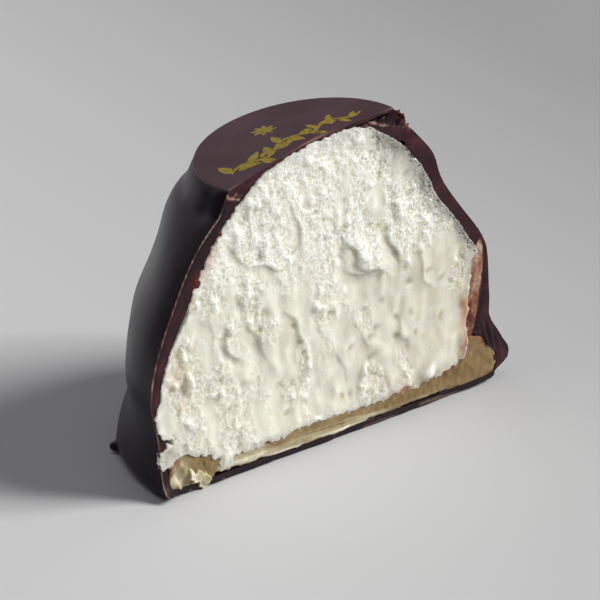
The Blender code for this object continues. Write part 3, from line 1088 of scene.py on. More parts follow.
    def curds(self, shade: Grid) -> Grid:
        """Chooses where the foam tore into curds, mostly above and at the left.

        Args:
            shade: how far each point is in the shade beneath a lip.

        Returns:
            1 in the curds and 0 between them.
        """
        many = 1.5 * step(19.0, 26.0, Z) + 0.4 * fall(-20.0, -8.0, X) - 0.15
        many -= 0.35 * step(-5.0, 8.0, X) * fall(10.0, 18.0, Z)
        return step(-0.4, 0.8, PLANE.grain(10, 1.0, 2.0, -14.0) + many) * (1.0 - np.clip(shade, 0.0, 0.85))

    def veil(self, edge: Grid, shoulder: Grid, low: Grid) -> Grid:
        """Finds where the foam is so thin or sodden that it looks grey.

        Args:
            edge: distance to the foam's edge.
            shoulder: 1 along the right shoulder and 0 away from it.
            low: 1 near the foot and 0 above it.

        Returns:
            How grey each point is, from 0 to 1.
        """
        width = 1.2 + 1.1 * step(22.0, 33.0, Z)
        thin = 0.85 * bell(np.maximum(edge, 0.0), width) * shoulder * (0.95 + 0.08 * PLANE.grain(42, 0.4))
        sodden = 0.4 * PLANE.spot((-25.3, 5.6), 1.5) + 0.34 * bell(edge, 0.8) * low * step(-15.0, -12.0, X)
        sodden += 0.15 * bell(edge, 0.5) * (Z > 30.0)
        return unit(np.maximum(thin, sodden))

    def torn_lips(self) -> tuple[Grid, Grid]:
        """Raises the curled lips.

        Returns:
            How far the lips stand forward, and how far each point is in the shade beneath one.
        """
        bend = 0.5 * PLANE.grain(11, 1.2)
        height = np.zeros_like(X)
        shade = np.zeros_like(X)
        for lip in self.lips:
            turn = math.radians(lip.turn)
            along = (X - lip.x) * math.cos(turn) + (Z - lip.z) * math.sin(turn)
            below = (X - lip.x) * math.sin(turn) - (Z - lip.z) * math.cos(turn) + bend
            ends = bell(along, lip.half_length)
            rise = np.exp(np.minimum(below, 0.0) / 1.6) * fall(0.0, 0.6, below)
            under = bell(below - lip.shade * 0.8, lip.shade * 0.7)
            height += lip.reach * ends * (rise - 0.45 * under)
            shade += ends * under
        return height, shade

    def hollows(self) -> Grid:
        """Opens the few larger bubbles.

        Returns:
            Where they are, from 0 to 1.
        """
        gap, own = PLANE.bubbles(24, 3.0, 0.8)
        radius = 0.14 + 0.14 * own
        return np.where(own > 0.5, bell(gap / radius, 0.75), 0.0)

    def pores(self, edge: Grid, shoulder: Grid) -> Grid:
        """Pricks fine open bubbles beside the coat's right shoulder.

        Args:
            edge: distance to the foam's edge.
            shoulder: 1 along the right shoulder and 0 away from it.

        Returns:
            Where they are, from 0 to 1.
        """
        holes = np.zeros_like(edge)
        wanted = 0.5 * shoulder * bell(edge - 0.2, 0.6)
        for seed, size in ((31, 0.46), (32, 0.34)):
            gap, own = PLANE.bubbles(seed, size, 0.06)
            radius = 0.22 + 0.18 * own / np.maximum(wanted, 0.05)
            holes = np.maximum(holes, fall(0.45, 1.0, gap / radius) * (own < wanted))
        return holes

    def stains(self, edge: Grid) -> Grid:
        """Finds where the knife has dragged chocolate and marzipan into the foam.

        Args:
            edge: distance to the foam's edge.

        Returns:
            How stained each point is, from 0 to 1.
        """
        patchy = unit(0.55 + 0.35 * PLANE.grain(41, 0.35, 0.8, 20.0))
        right = bell(edge, 1.1) * step(17.0, 20.0, X) * fall(12.0, 18.0, Z) * step(3.5, 5.0, Z)
        base = bell(X - 11.0, 3.2) * bell(Z - 3.2 - 0.1 * (X - 11.0), 0.45)
        left = bell(edge, 0.9) * (X < -10.0) * step(21.0, 24.0, Z) * fall(28.5, 31.0, Z)
        spots = 0.22 * PLANE.spot((-24.0, 15.0), 1.1, tall=1.25) + 0.3 * PLANE.spot((-23.5, 11.0), 0.5)
        return unit((0.5 * right + 0.7 * base + 0.35 * left) * patchy + spots)


@dataclass
class MarzipanBase(CutLayer):
    """Marzipan slab under the foam."""

    node: str = "marzipan_base"
    piece_name: str = "marzipan_cut"
    slot: str = "marzipan"
    finish: CutMarzipan = field(default_factory=CutMarzipan)
    backing: float = 0.6
    outline: Corners = (
        (-25.3, 3.0), (-25.1, 4.4), (-24.9, 5.4), (-23.7, 6.0), (-21.0, 5.8), (-17.0, 4.8), (-10.0, 4.2), (0.0, 4.2),
        (8.0, 4.4), (14.0, 5.0), (19.8, 6.0), (20.6, 7.1), (22.6, 6.8), (24.3, 5.8), (25.4, 4.2), (25.9, 2.6),
        (25.7, 1.6), (25.4, 0.9), (21.5, 0.8), (15.6, 0.8), (10.0, 0.9), (6.7, 0.85), (2.7, 0.6), (1.3, 0.3),
        (-1.3, 0.3), (-4.3, 0.5), (-7.4, 0.35), (-11.7, 0.6), (-13.5, 0.8), (-17.0, 1.2), (-18.6, 1.3), (-18.8, 0.8),
        (-18.9, 0.5), (-19.4, 0.7), (-19.8, 0.2), (-20.5, 0.0), (-21.6, 0.4), (-23.6, 0.5), (-25.2, 1.3),
    )
    flake: Corners = (
        (-23.1, 2.6), (-22.5, 3.0), (-21.8, 2.2), (-21.1, 2.4), (-20.0, 1.6), (-19.3, 1.1), (-18.8, 0.85),
        (-18.9, 0.5), (-19.4, 0.7), (-19.8, 0.2), (-20.5, 0.0), (-21.6, 0.4), (-21.4, 0.9), (-22.1, 1.1),
    )
    bared: Corners = (
        (19.4, 5.6), (20.0, 7.2), (21.9, 7.1), (23.3, 6.4), (24.0, 5.3), (24.1, 4.3), (23.0, 3.4), (20.0, 3.4),
    )

    def swell(self, point: Vector) -> float:
        """Returns how far the marzipan's edge is pushed out at a point of its rim, in millimetres."""
        return 0.2 + 0.05 * noise.noise(point)

    def relief(self) -> Relief:
        """Works out the cut face, smooth and greasy above with painted shade under the foam, and smeared into a pale
        strip below, partly painted sheen.

        Returns:
            The relief, and where the pale smear with its painted sheen, the rusty drags, and the grease with the
            painted shade lie.
        """
        edge = PLANE.within(self.outline, 0.15) + 0.05 * PLANE.grain(57, 0.2) + 0.06 * PLANE.grain(58, 0.6)
        foam = PLANE.within(MarshmallowFoam.outline)

        # The flake at the left is creamy and crumpled, with a raised frill round it.
        flake = PLANE.within(self.flake, 0.08) + 0.1 * PLANE.grain(56, 0.16)
        flaked = step(-0.06, 0.1, flake)
        frill = flaked * bell(flake - 0.12, 0.14)

        # The knife has dragged a pale smear along the foot, thinner towards the right. Its lightness is partly a
        # painted sheen, brightest as painted highlights along its ridges.
        streaky = PLANE.grain(50, 2.2, 0.11, 2.0)
        border = 2.1 + 0.1 * PLANE.grain(51, 1.5, 0.8) - 0.5 * step(1.0, 10.0, X)
        strip = fall(border - 0.3, border + 0.12, Z) * step(-19.0, -17.5, X)
        thinned = 1.0 - 0.6 * step(5.0, 12.0, X) * step(0.95, 1.35, Z) - 0.35 * step(14.0, 20.0, X)
        ridge = bell(Z - border + 0.15, 0.08) * fall(0.0, 6.0, X) + bell(Z - 1.0, 0.14) * (X < 2.0)
        blob = PLANE.spot((-23.7, 2.5), 1.0, 1.7, 2.1)
        milky = step(-18.0, -17.2, X) * fall(-12.5, -9.0, X) * (Z > 1.2)
        milky = milky * (0.35 + 0.2 * step(-0.2, 0.8, PLANE.grain(59, 0.45, 0.3)))
        strands = 0.5 * blob * step(0.0, 0.9, PLANE.grain(49, 0.2, 0.9, -30.0))
        cream_and_sheen = strip * thinned * (0.42 + 0.13 * streaky) + 0.35 * unit(ridge) * strip * (1.0 + 0.4 * streaky)
        cream_and_sheen += flaked * (0.5 + 0.1 * PLANE.grain(48, 0.5)) + 0.2 * frill + 0.4 * blob + strands + milky

        # Painted shade: a darker band just above the pale strip, under the foam. The tone also holds darker greasy
        # patches, and is lighter towards the left and at the lower right.
        oily_and_shaded = PLANE.spot((-20.4, 2.9), 1.0, 1.5, 0.8) + 0.6 * PLANE.spot((-12.0, 3.0), 1.0, 1.4, 0.4)
        oily_and_shaded += 0.35 * bell(Z - border - 0.3, 0.25) * (X > -17.0) * (X < 10.0)
        oil_and_shade = 0.1 * oily_and_shaded * (1.0 - flaked) - 0.1 * step(8.0, 20.0, X) * fall(1.4, 3.2, Z)
        oil_and_shade -= (0.06 + 0.06 * step(-18.0, -16.0, X)) * fall(4.0, 14.0, X)

        forward = 0.05 * PLANE.grain(52, 1.2) + 0.03 * PLANE.grain(53, 0.25) + 0.02 * streaky * strip + 0.03
        forward += blob * (0.1 + 0.12 * PLANE.grain(74, 0.3)) + 0.1 * strands
        forward += 0.06 * oily_and_shaded * PLANE.grain(44, 0.22) + 0.06 * ridge * strip
        forward += flaked * (0.3 + 0.12 * PLANE.webs(55, 0.3) + 0.1 * PLANE.grain(54, 0.5)) + 0.12 * frill
        forward -= 0.25 * bell(edge, 0.3) * (Z < 1.6) * (X > -17.5)
        sunk = bell(np.maximum(edge, 0.0), 0.7) * step(18.0, 22.0, X)
        forward = forward * (1.0 - sunk) - 0.08 * sunk
        forward -= 0.7 * step(0.1, 0.4, foam)
        kept = step(-0.1, 0.02, edge)
        forward = forward * kept - BEHIND * (1.0 - kept)
        rust = self.rust(foam) * (1.0 - flaked)
        return Relief(forward, tones={"cream_and_sheen": unit(cream_and_sheen), "rust": np.clip(rust, 0.0, 0.85), "oil_and_shade": oil_and_shade})

    def rust(self, foam: Grid) -> Grid:
        """Finds where the knife has dragged the coat's chocolate over the marzipan.

        Args:
            foam: how deep each point lies in the foam.

        Returns:
            How much lies on each point, 1 for a full cover.
        """
        left = PLANE.near_path((-25.2, 3.0), (-24.9, 4.1), (-23.9, 5.1))
        left = np.minimum(left, PLANE.near_path((-24.6, 3.4), (-23.9, 4.5))) + 0.06 * PLANE.grain(47, 0.3)
        corner = bell(PLANE.within(self.bared) - 0.2, 0.45) * step(4.8, 5.8, Z) * step(19.6, 20.4, X)
        rust = bell(left, 0.17) + corner * (0.75 + 0.5 * step(-0.5, 0.6, PLANE.grain(46, 0.35)))
        rust += 0.12 * step(4.0, 20.0, X) + 0.4 * bell(foam, 0.5) * (X > 18.0)
        rust += 0.45 * bell(foam, 0.3) * (Z < 5.0) * step(-2.0, 6.0, X) * unit(0.6 + 0.6 * PLANE.grain(45, 0.5))
        return rust * (0.75 + 0.35 * PLANE.grain(60, 0.2))


@dataclass(frozen=True)
class DiscSeat:
    """Where the disc lies: a shallow dome that leans to the left."""

    x: float = -4.0
    y: float = 1.8
    radius: float = 12.4
    rim_height: float = 37.6
    rise_x: float = 0.166
    rise_y: float = -0.034
    sag: float = 1.0
    thickness: float = 0.7

    def top(self, x: Grid, y: Grid) -> Grid:
        """Works out the height of the disc's upper face.

        Args:
            x: X of points of the plan.
            y: their Y.

        Returns:
            Their heights.
        """
        dx, dy = x - self.x, y - self.y
        dome = self.sag * (1.0 - (dx * dx + dy * dy) / self.radius**2)
        return self.rim_height + self.rise_x * dx + self.rise_y * dy + dome

    def away(self, x: Grid, y: Grid) -> Grid:
        """Returns how far points of the plan lie outside the disc's rim."""
        return np.hypot(x - self.x, y - self.y) - self.radius


@dataclass
class ChocolateCoat:
    """Chocolate that wraps the dome and closes under it as a thin film."""

    node: str = "chocolate_coat"
    piece_name: str = "coat_dipped"
    slot: str = "dark_chocolate"
    skin: DippedChocolate = field(default_factory=DippedChocolate)
    cut: CutChocolate = field(default_factory=CutChocolate)
    seat: DiscSeat = field(default_factory=DiscSeat)
    smoothing: int = 2
    past: float = 1.6  # how far it is carried past the cut, for the knife to trim
    left_break: Slab = Slab(
        (
            (-16.6, 34.8), (-16.3, 34.35), (-15.6, 34.1), (-14.7, 33.75), (-13.4, 34.3), (-11.4, 35.5), (-8.5, 36.5),
            (-8.5, 37.0), (-11.4, 36.3), (-14.0, 35.6), (-16.2, 34.95),
        ),
        back=1.0,
        margin=0.05,
    )
    right_block: Slab = Slab(
        (
            (3.6, 38.0), (6.0, 38.8), (8.3, 39.3), (9.1, 38.85), (9.7, 38.1), (10.3, 37.1), (10.75, 36.4),
            (11.1, 35.8), (9.6, 34.2), (7.2, 35.8), (4.8, 37.1), (3.4, 37.6),
        ),
        back=3.0,
        margin=0.05,
        taper=0.45,
    )
    right_wall: Slab = Slab(
        (
            (11.2, 35.5), (9.6, 34.2), (12.0, 31.4), (13.5, 29.1), (15.0, 26.5), (17.4, 23.8), (19.8, 20.5),
            (21.4, 18.2), (20.4, 16.0), (20.0, 12.0), (19.9, 8.0), (20.0, 6.4), (22.2, 6.2), (22.9, 9.0),
            (23.2, 13.0), (23.3, 17.0), (22.9, 18.8), (21.6, 21.0), (18.8, 24.7), (16.6, 27.4), (15.3, 29.4),
            (14.4, 31.6), (12.6, 34.3),
        ),
        margin=0.0,
    )
    crumbs: tuple[Lump, ...] = (
        Lump((-20.9, 0.0, 25.6), (0.45, 0.5, 0.8), 30.0, 0.4, 0.3),
        Lump((-17.5, 0.0, 30.4), (0.4, 0.5, 0.5), 40.0, 0.4, 0.3),
        Lump((9.0, 0.0, 38.75), (0.22, 0.3, 0.16), 20.0, 0.5, 0.2),
        Lump((9.3, 0.0, 38.5), (0.3, 0.35, 0.16), -30.0, 0.5, 0.2),
        Lump((9.65, 0.0, 38.1), (0.22, 0.3, 0.25), 10.0, 0.5, 0.2),
        Lump((9.95, 0.0, 37.7), (0.34, 0.35, 0.15), 35.0, 0.5, 0.2),
        Lump((10.15, 0.0, 37.25), (0.2, 0.3, 0.24), 0.0, 0.5, 0.2),
        Lump((10.5, 0.0, 36.8), (0.26, 0.3, 0.16), -25.0, 0.5, 0.2),
        Lump((10.8, 0.0, 36.4), (0.16, 0.25, 0.2), 15.0, 0.5, 0.2),
    )
    drips: tuple[Lump, ...] = (
        Lump((25.5, -0.1, 3.0), (0.65, 0.6, 0.36), 10.0, 0.1, 0.8),
        Lump((5.2, 0.2, 0.5), (1.3, 0.8, 0.5), 0.0, 0.2, 0.7),
        Lump((16.8, 0.2, 0.6), (1.1, 0.8, 0.45), 8.0, 0.2, 0.7),
    )
    smeared: Corners = (
        (20.2, 5.9), (20.3, 15.5), (21.6, 18.2), (22.6, 20.2), (23.0, 18.3), (23.1, 16.5), (22.8, 12.0), (22.3, 8.8),
        (21.3, 6.3),
    )
    fracture: Corners = (
        (4.4, 38.6), (8.2, 39.6), (9.4, 39.2), (11.2, 36.6), (10.2, 36.5), (8.6, 37.1), (6.6, 37.7), (5.4, 38.2),
    )

    @staticmethod
    def in_cut(face: bmesh.types.BMFace) -> bool:
        """Says whether a face of the coat lies in the cut."""
        return face.normal.y < -0.9 and face.calc_center_median().y < 0.1

    def solid(self) -> tuple[bpy.types.Object, Grid, Grid]:
        """Smooths the coat and carries its cut face forward.

        Returns:
            The closed solid, and the points of its outer and of its inner edge in the cut as X and Z.
        """
        piece = merged_copy(self.node, self.piece_name)
        with editing(piece):
            pick_faces(piece, self.in_cut)
            bpy.ops.mesh.select_mode(type="EDGE")
            bpy.ops.mesh.region_to_loop()
            bpy.ops.transform.edge_crease(value=1.0)
        apply_modifier(piece, "SUBSURF", levels=self.smoothing, render_levels=self.smoothing)
        self.seat_disc(piece)
        self.lift_film(piece)
        outer, inner = self.edges(piece)
        with editing(piece):
            pick_faces(piece, self.in_cut)
            push_out(bpy.ops.mesh.extrude_region_move, -self.past)
        join_lumps(piece, (self.left_break, self.right_block, self.right_wall, *self.crumbs, *self.drips))
        return piece, outer, inner

    def seat_disc(self, piece: bpy.types.Object) -> None:
        """Raises a collar round the disc's rim, and lets the coat dip beside it at the left behind the cut.

        Args:
            piece: the coat.
        """
        points = points_of(piece)
        facing_up = normals_of(piece)[:, 2] > 0.05
        x, y, z = points.T
        under = self.seat.top(x, y) - self.seat.thickness - z
        away = self.seat.away(x, y)
        collar = self.seat.top(x, y) - 0.3 - 1.1 * np.maximum(away, 0.0) - z
        bead = fall(0.3, 1.6, away) * step(-1.2, -0.4, away) * fall(1.8, 3.0, under) * facing_up
        points[:, 2] += bead * np.clip(collar, 0.0, 1.6)
        points[:, 2] -= 0.4 * bell(away - 1.0, 1.2) * step(6.0, 10.0, -x) * step(1.0, 3.0, y) * facing_up
        place_points(piece, points)

    def lift_film(self, piece: bpy.types.Object) -> None:
        """Thins the film under the sweet where the knife broke it away, and waves the right heel.

        Args:
            piece: the coat.
        """
        points = points_of(piece)
        x, y, z = points.T
        broken = 0.85 * step(-20.5, -18.5, x) * fall(-13.0, -8.0, x) + 0.35 * bell(x + 22.6, 1.0)
        points[:, 2] += np.minimum(broken, 0.9) * (z < 0.05) * fall(0.5, 3.0, y)
        heel = (x > 22.0) * fall(0.5, 4.0, y)
        points[:, 0] += heel * (0.4 * bell(z - 3.7, 1.2) - 0.55 * bell(z - 8.9, 1.8))
        points[:, 0] -= 1.5 * heel * fall(1.0, 2.6, z) * step(25.4, 27.0, x)
        place_points(piece, points)

    def edges(self, piece: bpy.types.Object) -> tuple[Grid, Grid]:
        """Finds the two edges of the cut face.

        Args:
            piece: the coat.

        Returns:
            Points of the outer and of the inner edge as X and Z.
        """
        skin = bmesh.new()
        skin.from_mesh(piece.data)
        left = {e for e in skin.edges if len(e.link_faces) == 2 and len({self.in_cut(f) for f in e.link_faces}) == 2}
        loops = []
        while left:
            chain = [left.pop()]
            spots = []
            while chain:
                for vert in chain.pop().verts:
                    spots.append((vert.co.x, vert.co.z))
                    following = left.intersection(vert.link_edges)
                    left -= following
                    chain += following
            loops.append(np.array(spots))
        skin.free()
        loops.sort(key=lambda spots: np.ptp(spots[:, 0]), reverse=True)
        return loops[0], loops[1]

    def relief(self, outer: Grid, inner: Grid) -> Relief:
        """Works out the cut face: a waxy drag, rounded over at the skin.

        Args:
            outer: points of the outer edge in the cut.
            inner: points of the inner edge in the cut.

        Returns:
            The relief, and where crumbs, pale chipping with the painted edge highlight, painted shade and smeared
            foam are.
        """
        skin, lining = PLANE.distance(outer), PLANE.distance(inner)
        left = 1.0 * (X < 0.0)
        below_disc = fall(33.0, 34.0, Z)
        groove = bell(skin - 0.4, 0.12) * left
        forward = 0.04 * PLANE.grain(61, 1.6) - 0.12 * unit(1.0 - skin / 0.25) ** 2 - 0.06 * groove

        # The block that broke off at the top right is splintered, over a hole beside the disc.
        broken = step(-0.1, 0.3, PLANE.within(self.fracture, 0.15))
        hole = PLANE.spot((4.3, 38.65), 0.38)
        forward += broken * (0.14 * PLANE.grain(63, 0.15, 0.8, 22.0) + 0.08 * PLANE.grain(62, 0.5) - 0.12)
        forward -= 0.6 * hole

        # The right foot is drawn out in folds, and the left one into a toe.
        foot = PLANE.spot((24.6, 6.5), 3.4)
        forward += 0.1 * foot * PLANE.grain(65, 0.2, 1.6, -14.0) * step(0.5, 1.0, skin)
        forward += 1.35 * PLANE.spot((-26.6, 0.0), 1.6)

        crumbs = PLANE.spot((-20.9, 25.5), 0.7, tall=1.0 / 0.7) + PLANE.spot((-17.5, 30.4), 0.45)
        orange = bell(PLANE.near_path((9.3, 38.9), (10.9, 36.8)), 0.65)
        under_disc = 0.7 * bell(lining, 0.3) * (Z > 35.5) * (X < 3.0)
        forward += 0.25 * crumbs + 0.15 * orange * PLANE.grain(64, 0.25)

        # The knife has smeared foam up the inside of the right wall.
        wall = PLANE.within(self.smeared, 0.2) + 0.12 * PLANE.grain(69, 0.3, 0.8)
        film = 0.32 + 0.036 * (Z - 6.0) + 0.12 * PLANE.grain(67, 0.3, 0.7, 8.0)
        smear = step(-0.15, 0.3, wall) * np.clip(film, 0.12, 1.0)
        seam = bell(wall + 0.3, 0.2) * (X > 21.0) * (Z > 6.0)
        under = fall(1.0, 1.7, Z)
        forward += 0.08 * smear * (1.0 + PLANE.grain(68, 0.22)) - 0.08 * seam
        forward += 0.04 * under * (1.0 + PLANE.grain(72, 0.8, 0.2))

        pale = self.chips_and_edge_highlight(skin) + 0.5 * PLANE.spot((25.0, 2.9), 0.2)
        pale += 0.2 * under * (X > 4.0) * step(0.6, 1.2, PLANE.grain(73, 1.5, 0.12))
        # The dark tone mixes in the shadow colour: painted shade in the hole, the seam and the groove, and darker along
        # the film at the foot, at the right foot, high on the left below the disc and in flecks over the broken block.
        dark = 0.85 * under + 0.4 * foot + 0.7 * seam + 0.45 * groove + hole
        dark += 0.7 * left * step(22.0, 28.0, Z) * below_disc
        dark += 0.35 * broken * (PLANE.grain(70, 0.2, 0.7, 22.0) > 0.3)
        forward -= 0.5 * step(0.3, 0.8, PLANE.within(MarshmallowFoam.outline))
        forward -= step(-0.1, 0.15, PLANE.within(MarzipanBase.bared) + 0.08 * PLANE.grain(77, 0.3))
        crumb = unit(1.4 * crumbs + 1.3 * orange + under_disc)
        return Relief(forward, tones={"crumb": crumb, "pale": unit(pale), "smear": smear, "dark": unit(dark)})

    def chips_and_edge_highlight(self, skin: Grid) -> Grid:
        """Finds where the cut chocolate is paler: a painted highlight just inside its outer edge at the left, and
        the knife's chipping along a crack, a ledge and some flecks.

        Args:
            skin: distance to the coat's outer edge.

        Returns:
            How pale each point is, 1 at the palest.
        """
        chips_and_edge_highlight = unit(0.55 + 0.4 * PLANE.grain(66, 0.25))
        crack = PLANE.near_path((4.6, 38.6), (6.6, 37.75), (8.6, 37.2), (10.7, 36.5)) + 0.06 * PLANE.grain(71, 0.5)
        ledge = np.minimum(
            PLANE.near_path((-16.3, 34.45), (-14.8, 33.95)), PLANE.near_path((-16.7, 35.3), (-16.35, 34.6))
        )
        # Painted highlight: a pale line just inside the outer edge at the left, where the rounded edge catches the
        # light.
        brink_highlight = bell(np.abs(skin - 0.14), 0.09) * (X < 0.0) * fall(33.0, 34.0, Z) * (0.35 + 0.35 * chips_and_edge_highlight)
        flecks = step(0.8, 1.3, PLANE.grain(75, 0.16)) * step(34.0, 35.0, Z) * fall(4.0, 5.0, X)
        return 0.5 * flecks + (0.95 * bell(crack, 0.1) + 0.8 * bell(ledge, 0.12)) * chips_and_edge_highlight + brink_highlight

    def build(self, knife: Knife) -> bpy.types.Object:
        """Builds the coat, slices it, dresses its skin and its cut, and puts it in its place.

        Args:
            knife: what slices it.

        Returns:
            The finished coat.
        """
        piece, outer, inner = self.solid()
        knife.slice(piece, self.relief(outer, inner))
        dress(piece, self.skin.material(), self.cut.material())
        dress_cut(piece, 0.7)
        settle(piece, self.node)
        return piece


def dress_cut(piece: bpy.types.Object, reach: float) -> None:
    """Gives a piece's second material to its faces in the cut.

    Args:
        piece: the piece.
        reach: how far behind the knife's plane such a face may lie, in millimetres.
    """
    faces = piece.data.polygons
    normals = np.empty(len(faces) * 3)
    centres = np.empty(len(faces) * 3)
    faces.foreach_get("normal", normals)
    faces.foreach_get("center", centres)
    cut = (normals[1::3] < -0.35) & (centres[1::3] < reach)
    faces.foreach_set("material_index", cut.astype(np.int32))


class Side(Enum):
    """Side of the garland's stem that a leaf grows on."""

    LEFT = 1.0
    RIGHT = -1.0


@dataclass
class GarlandPrint:
    """Gold print on the disc: a leafy garland along the cut, with a rosette behind it."""

    node: str = "chocolate_disc"
    piece_name: str = "gold_garland"
    slot: str = "moulded_chocolate"
    finish: GoldTransfer = field(default_factory=GoldTransfer)
    start: float = -13.9
    end: float = 5.2
    middle: float = 2.35
    wave: float = 0.7
    wave_length: float = 6.4
    stem_width: float = 0.42
    leaf_length: float = 2.2
    leaf_width: float = 0.95
    leaf_spacing: float = 1.2
    leaf_turn: float = math.radians(50)
    leaf_curl: float = 0.12
    berry: float = 0.3
    berry_stalk: float = 0.75
    rosette: Spot = (-4.8, 7.7)
    rosette_heart: float = 0.34
    petals: int = 8
    petal: Spot = (1.2, 0.6)  # length and width
    film: float = 0.03
    lift: float = 0.01  # keeps the print off the disc's own surface
    above: float = 50.0  # where it starts, over the disc
    margin: float = 0.35  # kept clear along the cut

    def stem_at(self, x: float) -> tuple[float, float]:
        """Works out the stem's wave.

        Args:
            x: X along the stem.

        Returns:
            The stem's Y there and its direction in radians.
        """
        turn = 2.0 * math.pi * (x - self.start) / self.wave_length
        slope = self.wave * 2.0 * math.pi / self.wave_length * math.cos(turn)
        return self.middle + self.wave * math.sin(turn), math.atan(slope)

    def stem(self) -> bpy.types.Object:
        """Models the stem as a long flat strip, tapered at its ends.

        Returns:
            The flat stem.
        """
        strip = start_from(bpy.ops.mesh.primitive_grid_add, x_subdivisions=90, y_subdivisions=1, size=1.0)
        points = points_of(strip)
        for i, (u, v, _) in enumerate(points):
            x = self.start + (u + 0.5) * (self.end - self.start)
            y, turn = self.stem_at(x)
            half = v * self.stem_width * (1.0 - 0.7 * (2.0 * abs(u)) ** 8)
            points[i] = (x - half * math.sin(turn), y + half * math.cos(turn), 0.0)
        place_points(strip, points)
        return strip

    def blade(self, root: Spot, turn: float, length: float, width: float) -> bpy.types.Object:
        """Models a pointed leaf or petal from a disc.

        Args:
            root: where it starts, as X and Y.
            turn: its direction in radians.
            length: its length in millimetres.
            width: its greatest width in millimetres.

        Returns:
            The flat leaf.
        """
        blade = start_from(bpy.ops.mesh.primitive_circle_add, vertices=14, radius=1.0, fill_type="NGON")
        points = points_of(blade)
        along, across = points[:, 1].copy(), points[:, 0].copy()
        share = 0.5 + 0.5 * along
        half = 0.5 * width * np.sign(across) * (1.0 - along**2) ** 0.8 * (1.25 - 0.5 * share)
        curl = self.leaf_curl * length * share**2
        u, v = share * length, np.where(np.abs(across) < 0.01, 0.0, half) + curl
        points[:, 0] = root[0] + u * math.cos(turn) - v * math.sin(turn)
        points[:, 1] = np.maximum(root[1] + u * math.sin(turn) + v * math.cos(turn), self.margin)
        place_points(blade, points)
        return blade

    def dot(self, x: float, y: float, radius: float) -> bpy.types.Object:
        """Models a flat berry.

        Args:
            x: X of its middle.
            y: Y of its middle.
            radius: its radius in millimetres.

        Returns:
            The berry.
        """
        berry = start_from(bpy.ops.mesh.primitive_circle_add, vertices=12, radius=radius, fill_type="NGON")
        berry.data.transform(Matrix.Translation((x, y, 0.0)))
        return berry

    def model(self) -> list[bpy.types.Object]:
        """Models the garland's and the rosette's shapes.

        Returns:
            The flat shapes, in plan.
        """
        shapes = [self.stem()]
        count = int((self.end - self.start) / self.leaf_spacing)
        for i in range(count):
            side = Side.LEFT if i % 2 == 0 else Side.RIGHT
            x = self.start + 0.3 + i * self.leaf_spacing
            y, turn = self.stem_at(x)
            size = 1.2 - 0.4 * i / count
            turn += side.value * self.leaf_turn
            shapes.append(self.blade((x, y), turn, self.leaf_length * size, self.leaf_width * size))
        for i in range(int(2 * (self.end - self.start) / self.wave_length)):
            x = self.start + self.wave_length * (0.25 + 0.5 * i)
            y, _ = self.stem_at(x)
            down = math.copysign(1.0, self.middle - y)
            for k in (-1, 0, 1):
                stalk = self.berry_stalk + (0.25 if k == 0 else 0.0)
                shapes.append(self.dot(x + 0.3 * k, y + down * stalk, self.berry))
        x, y = self.rosette
        for i in range(self.petals):
            turn = 2.0 * math.pi * i / self.petals
            shapes.append(self.blade((x + 0.3 * math.cos(turn), y + 0.3 * math.sin(turn)), turn, *self.petal))
        shapes.append(self.dot(x, y, self.rosette_heart))
        return shapes

    def build(self, disc: bpy.types.Object) -> bpy.types.Object:
        """Lays the print on the disc and dresses it.

        Args:
            disc: the disc, in millimetres of the cut.

        Returns:
            The print.
        """
        shapes = self.model()
        for shape in shapes:
            shape.data.transform(Matrix.Translation((0.0, 0.0, self.above)))
            shape.select_set(True)
        bpy.context.view_layer.objects.active = shapes[0]
        bpy.ops.object.join()
        piece = bpy.context.object
        piece.name = self.piece_name
        down = {"use_project_z": True, "use_negative_direction": True, "use_positive_direction": False}
        apply_modifier(piece, "SHRINKWRAP", target=disc, wrap_method="PROJECT", offset=self.lift, **down)
        apply_modifier(piece, "SOLIDIFY", thickness=self.film, offset=1.0)
        dress(piece, self.finish.material())
        settle(piece, self.node, replaces=False)
        return piece


@dataclass
class ChocolateDisc:
    """Thin moulded disc laid on the coat before it had set, cut through with it."""

    node: str = "chocolate_disc"
    piece_name: str = "disc_moulded"
    slot: str = "moulded_chocolate"
    finish: MouldedChocolate = field(default_factory=MouldedChocolate)
    printed: GarlandPrint = field(default_factory=GarlandPrint)
    seat: DiscSeat = field(default_factory=DiscSeat)
    edge: float = 0.11
    # Width of the painted highlight along the top edge of the cut, in millimetres.
    edge_highlight: float = 0.16

    def build(self) -> list[bpy.types.Object]:
        """Builds the disc with eased edges and a painted highlight along the top of its cut, and lays the print on it.

        Returns:
            The disc and the print.
        """
        piece = merged_copy(self.node, self.piece_name)
        apply_modifier(piece, "BEVEL", width=self.edge, segments=2, limit_method="ANGLE", angle_limit=CRISP)
        apply_modifier(piece, "SUBSURF", levels=2, render_levels=2)
        x, y, z = points_of(piece).T
        # Painted highlight along the top edge of the cut, where its sharp edge catches the light; on the cut faces the
        # cut material lightens it too.
        write_tone(piece, "pale", bell(y, self.edge_highlight) * bell(z - self.seat.top(x, y) + 0.05, self.edge_highlight))
        dress(piece, self.finish.material(), bpy.data.materials["dark_chocolate_cut"])
        dress_cut(piece, 0.13)
        pieces = [piece, self.printed.build(piece)]
        settle(piece, self.node)
        return pieces


# ---------------------------------------------------------------------------------------------------------
# The studio


@dataclass(frozen=True)
class SoftLamp:
    """Round soft lamp that points at the sweet."""

    name: str
    way: tuple[float, float, float]  # to the camera's right, towards it and up
    away: float  # in metres
    size: float  # in metres
    power: float  # in watts
    tint: str


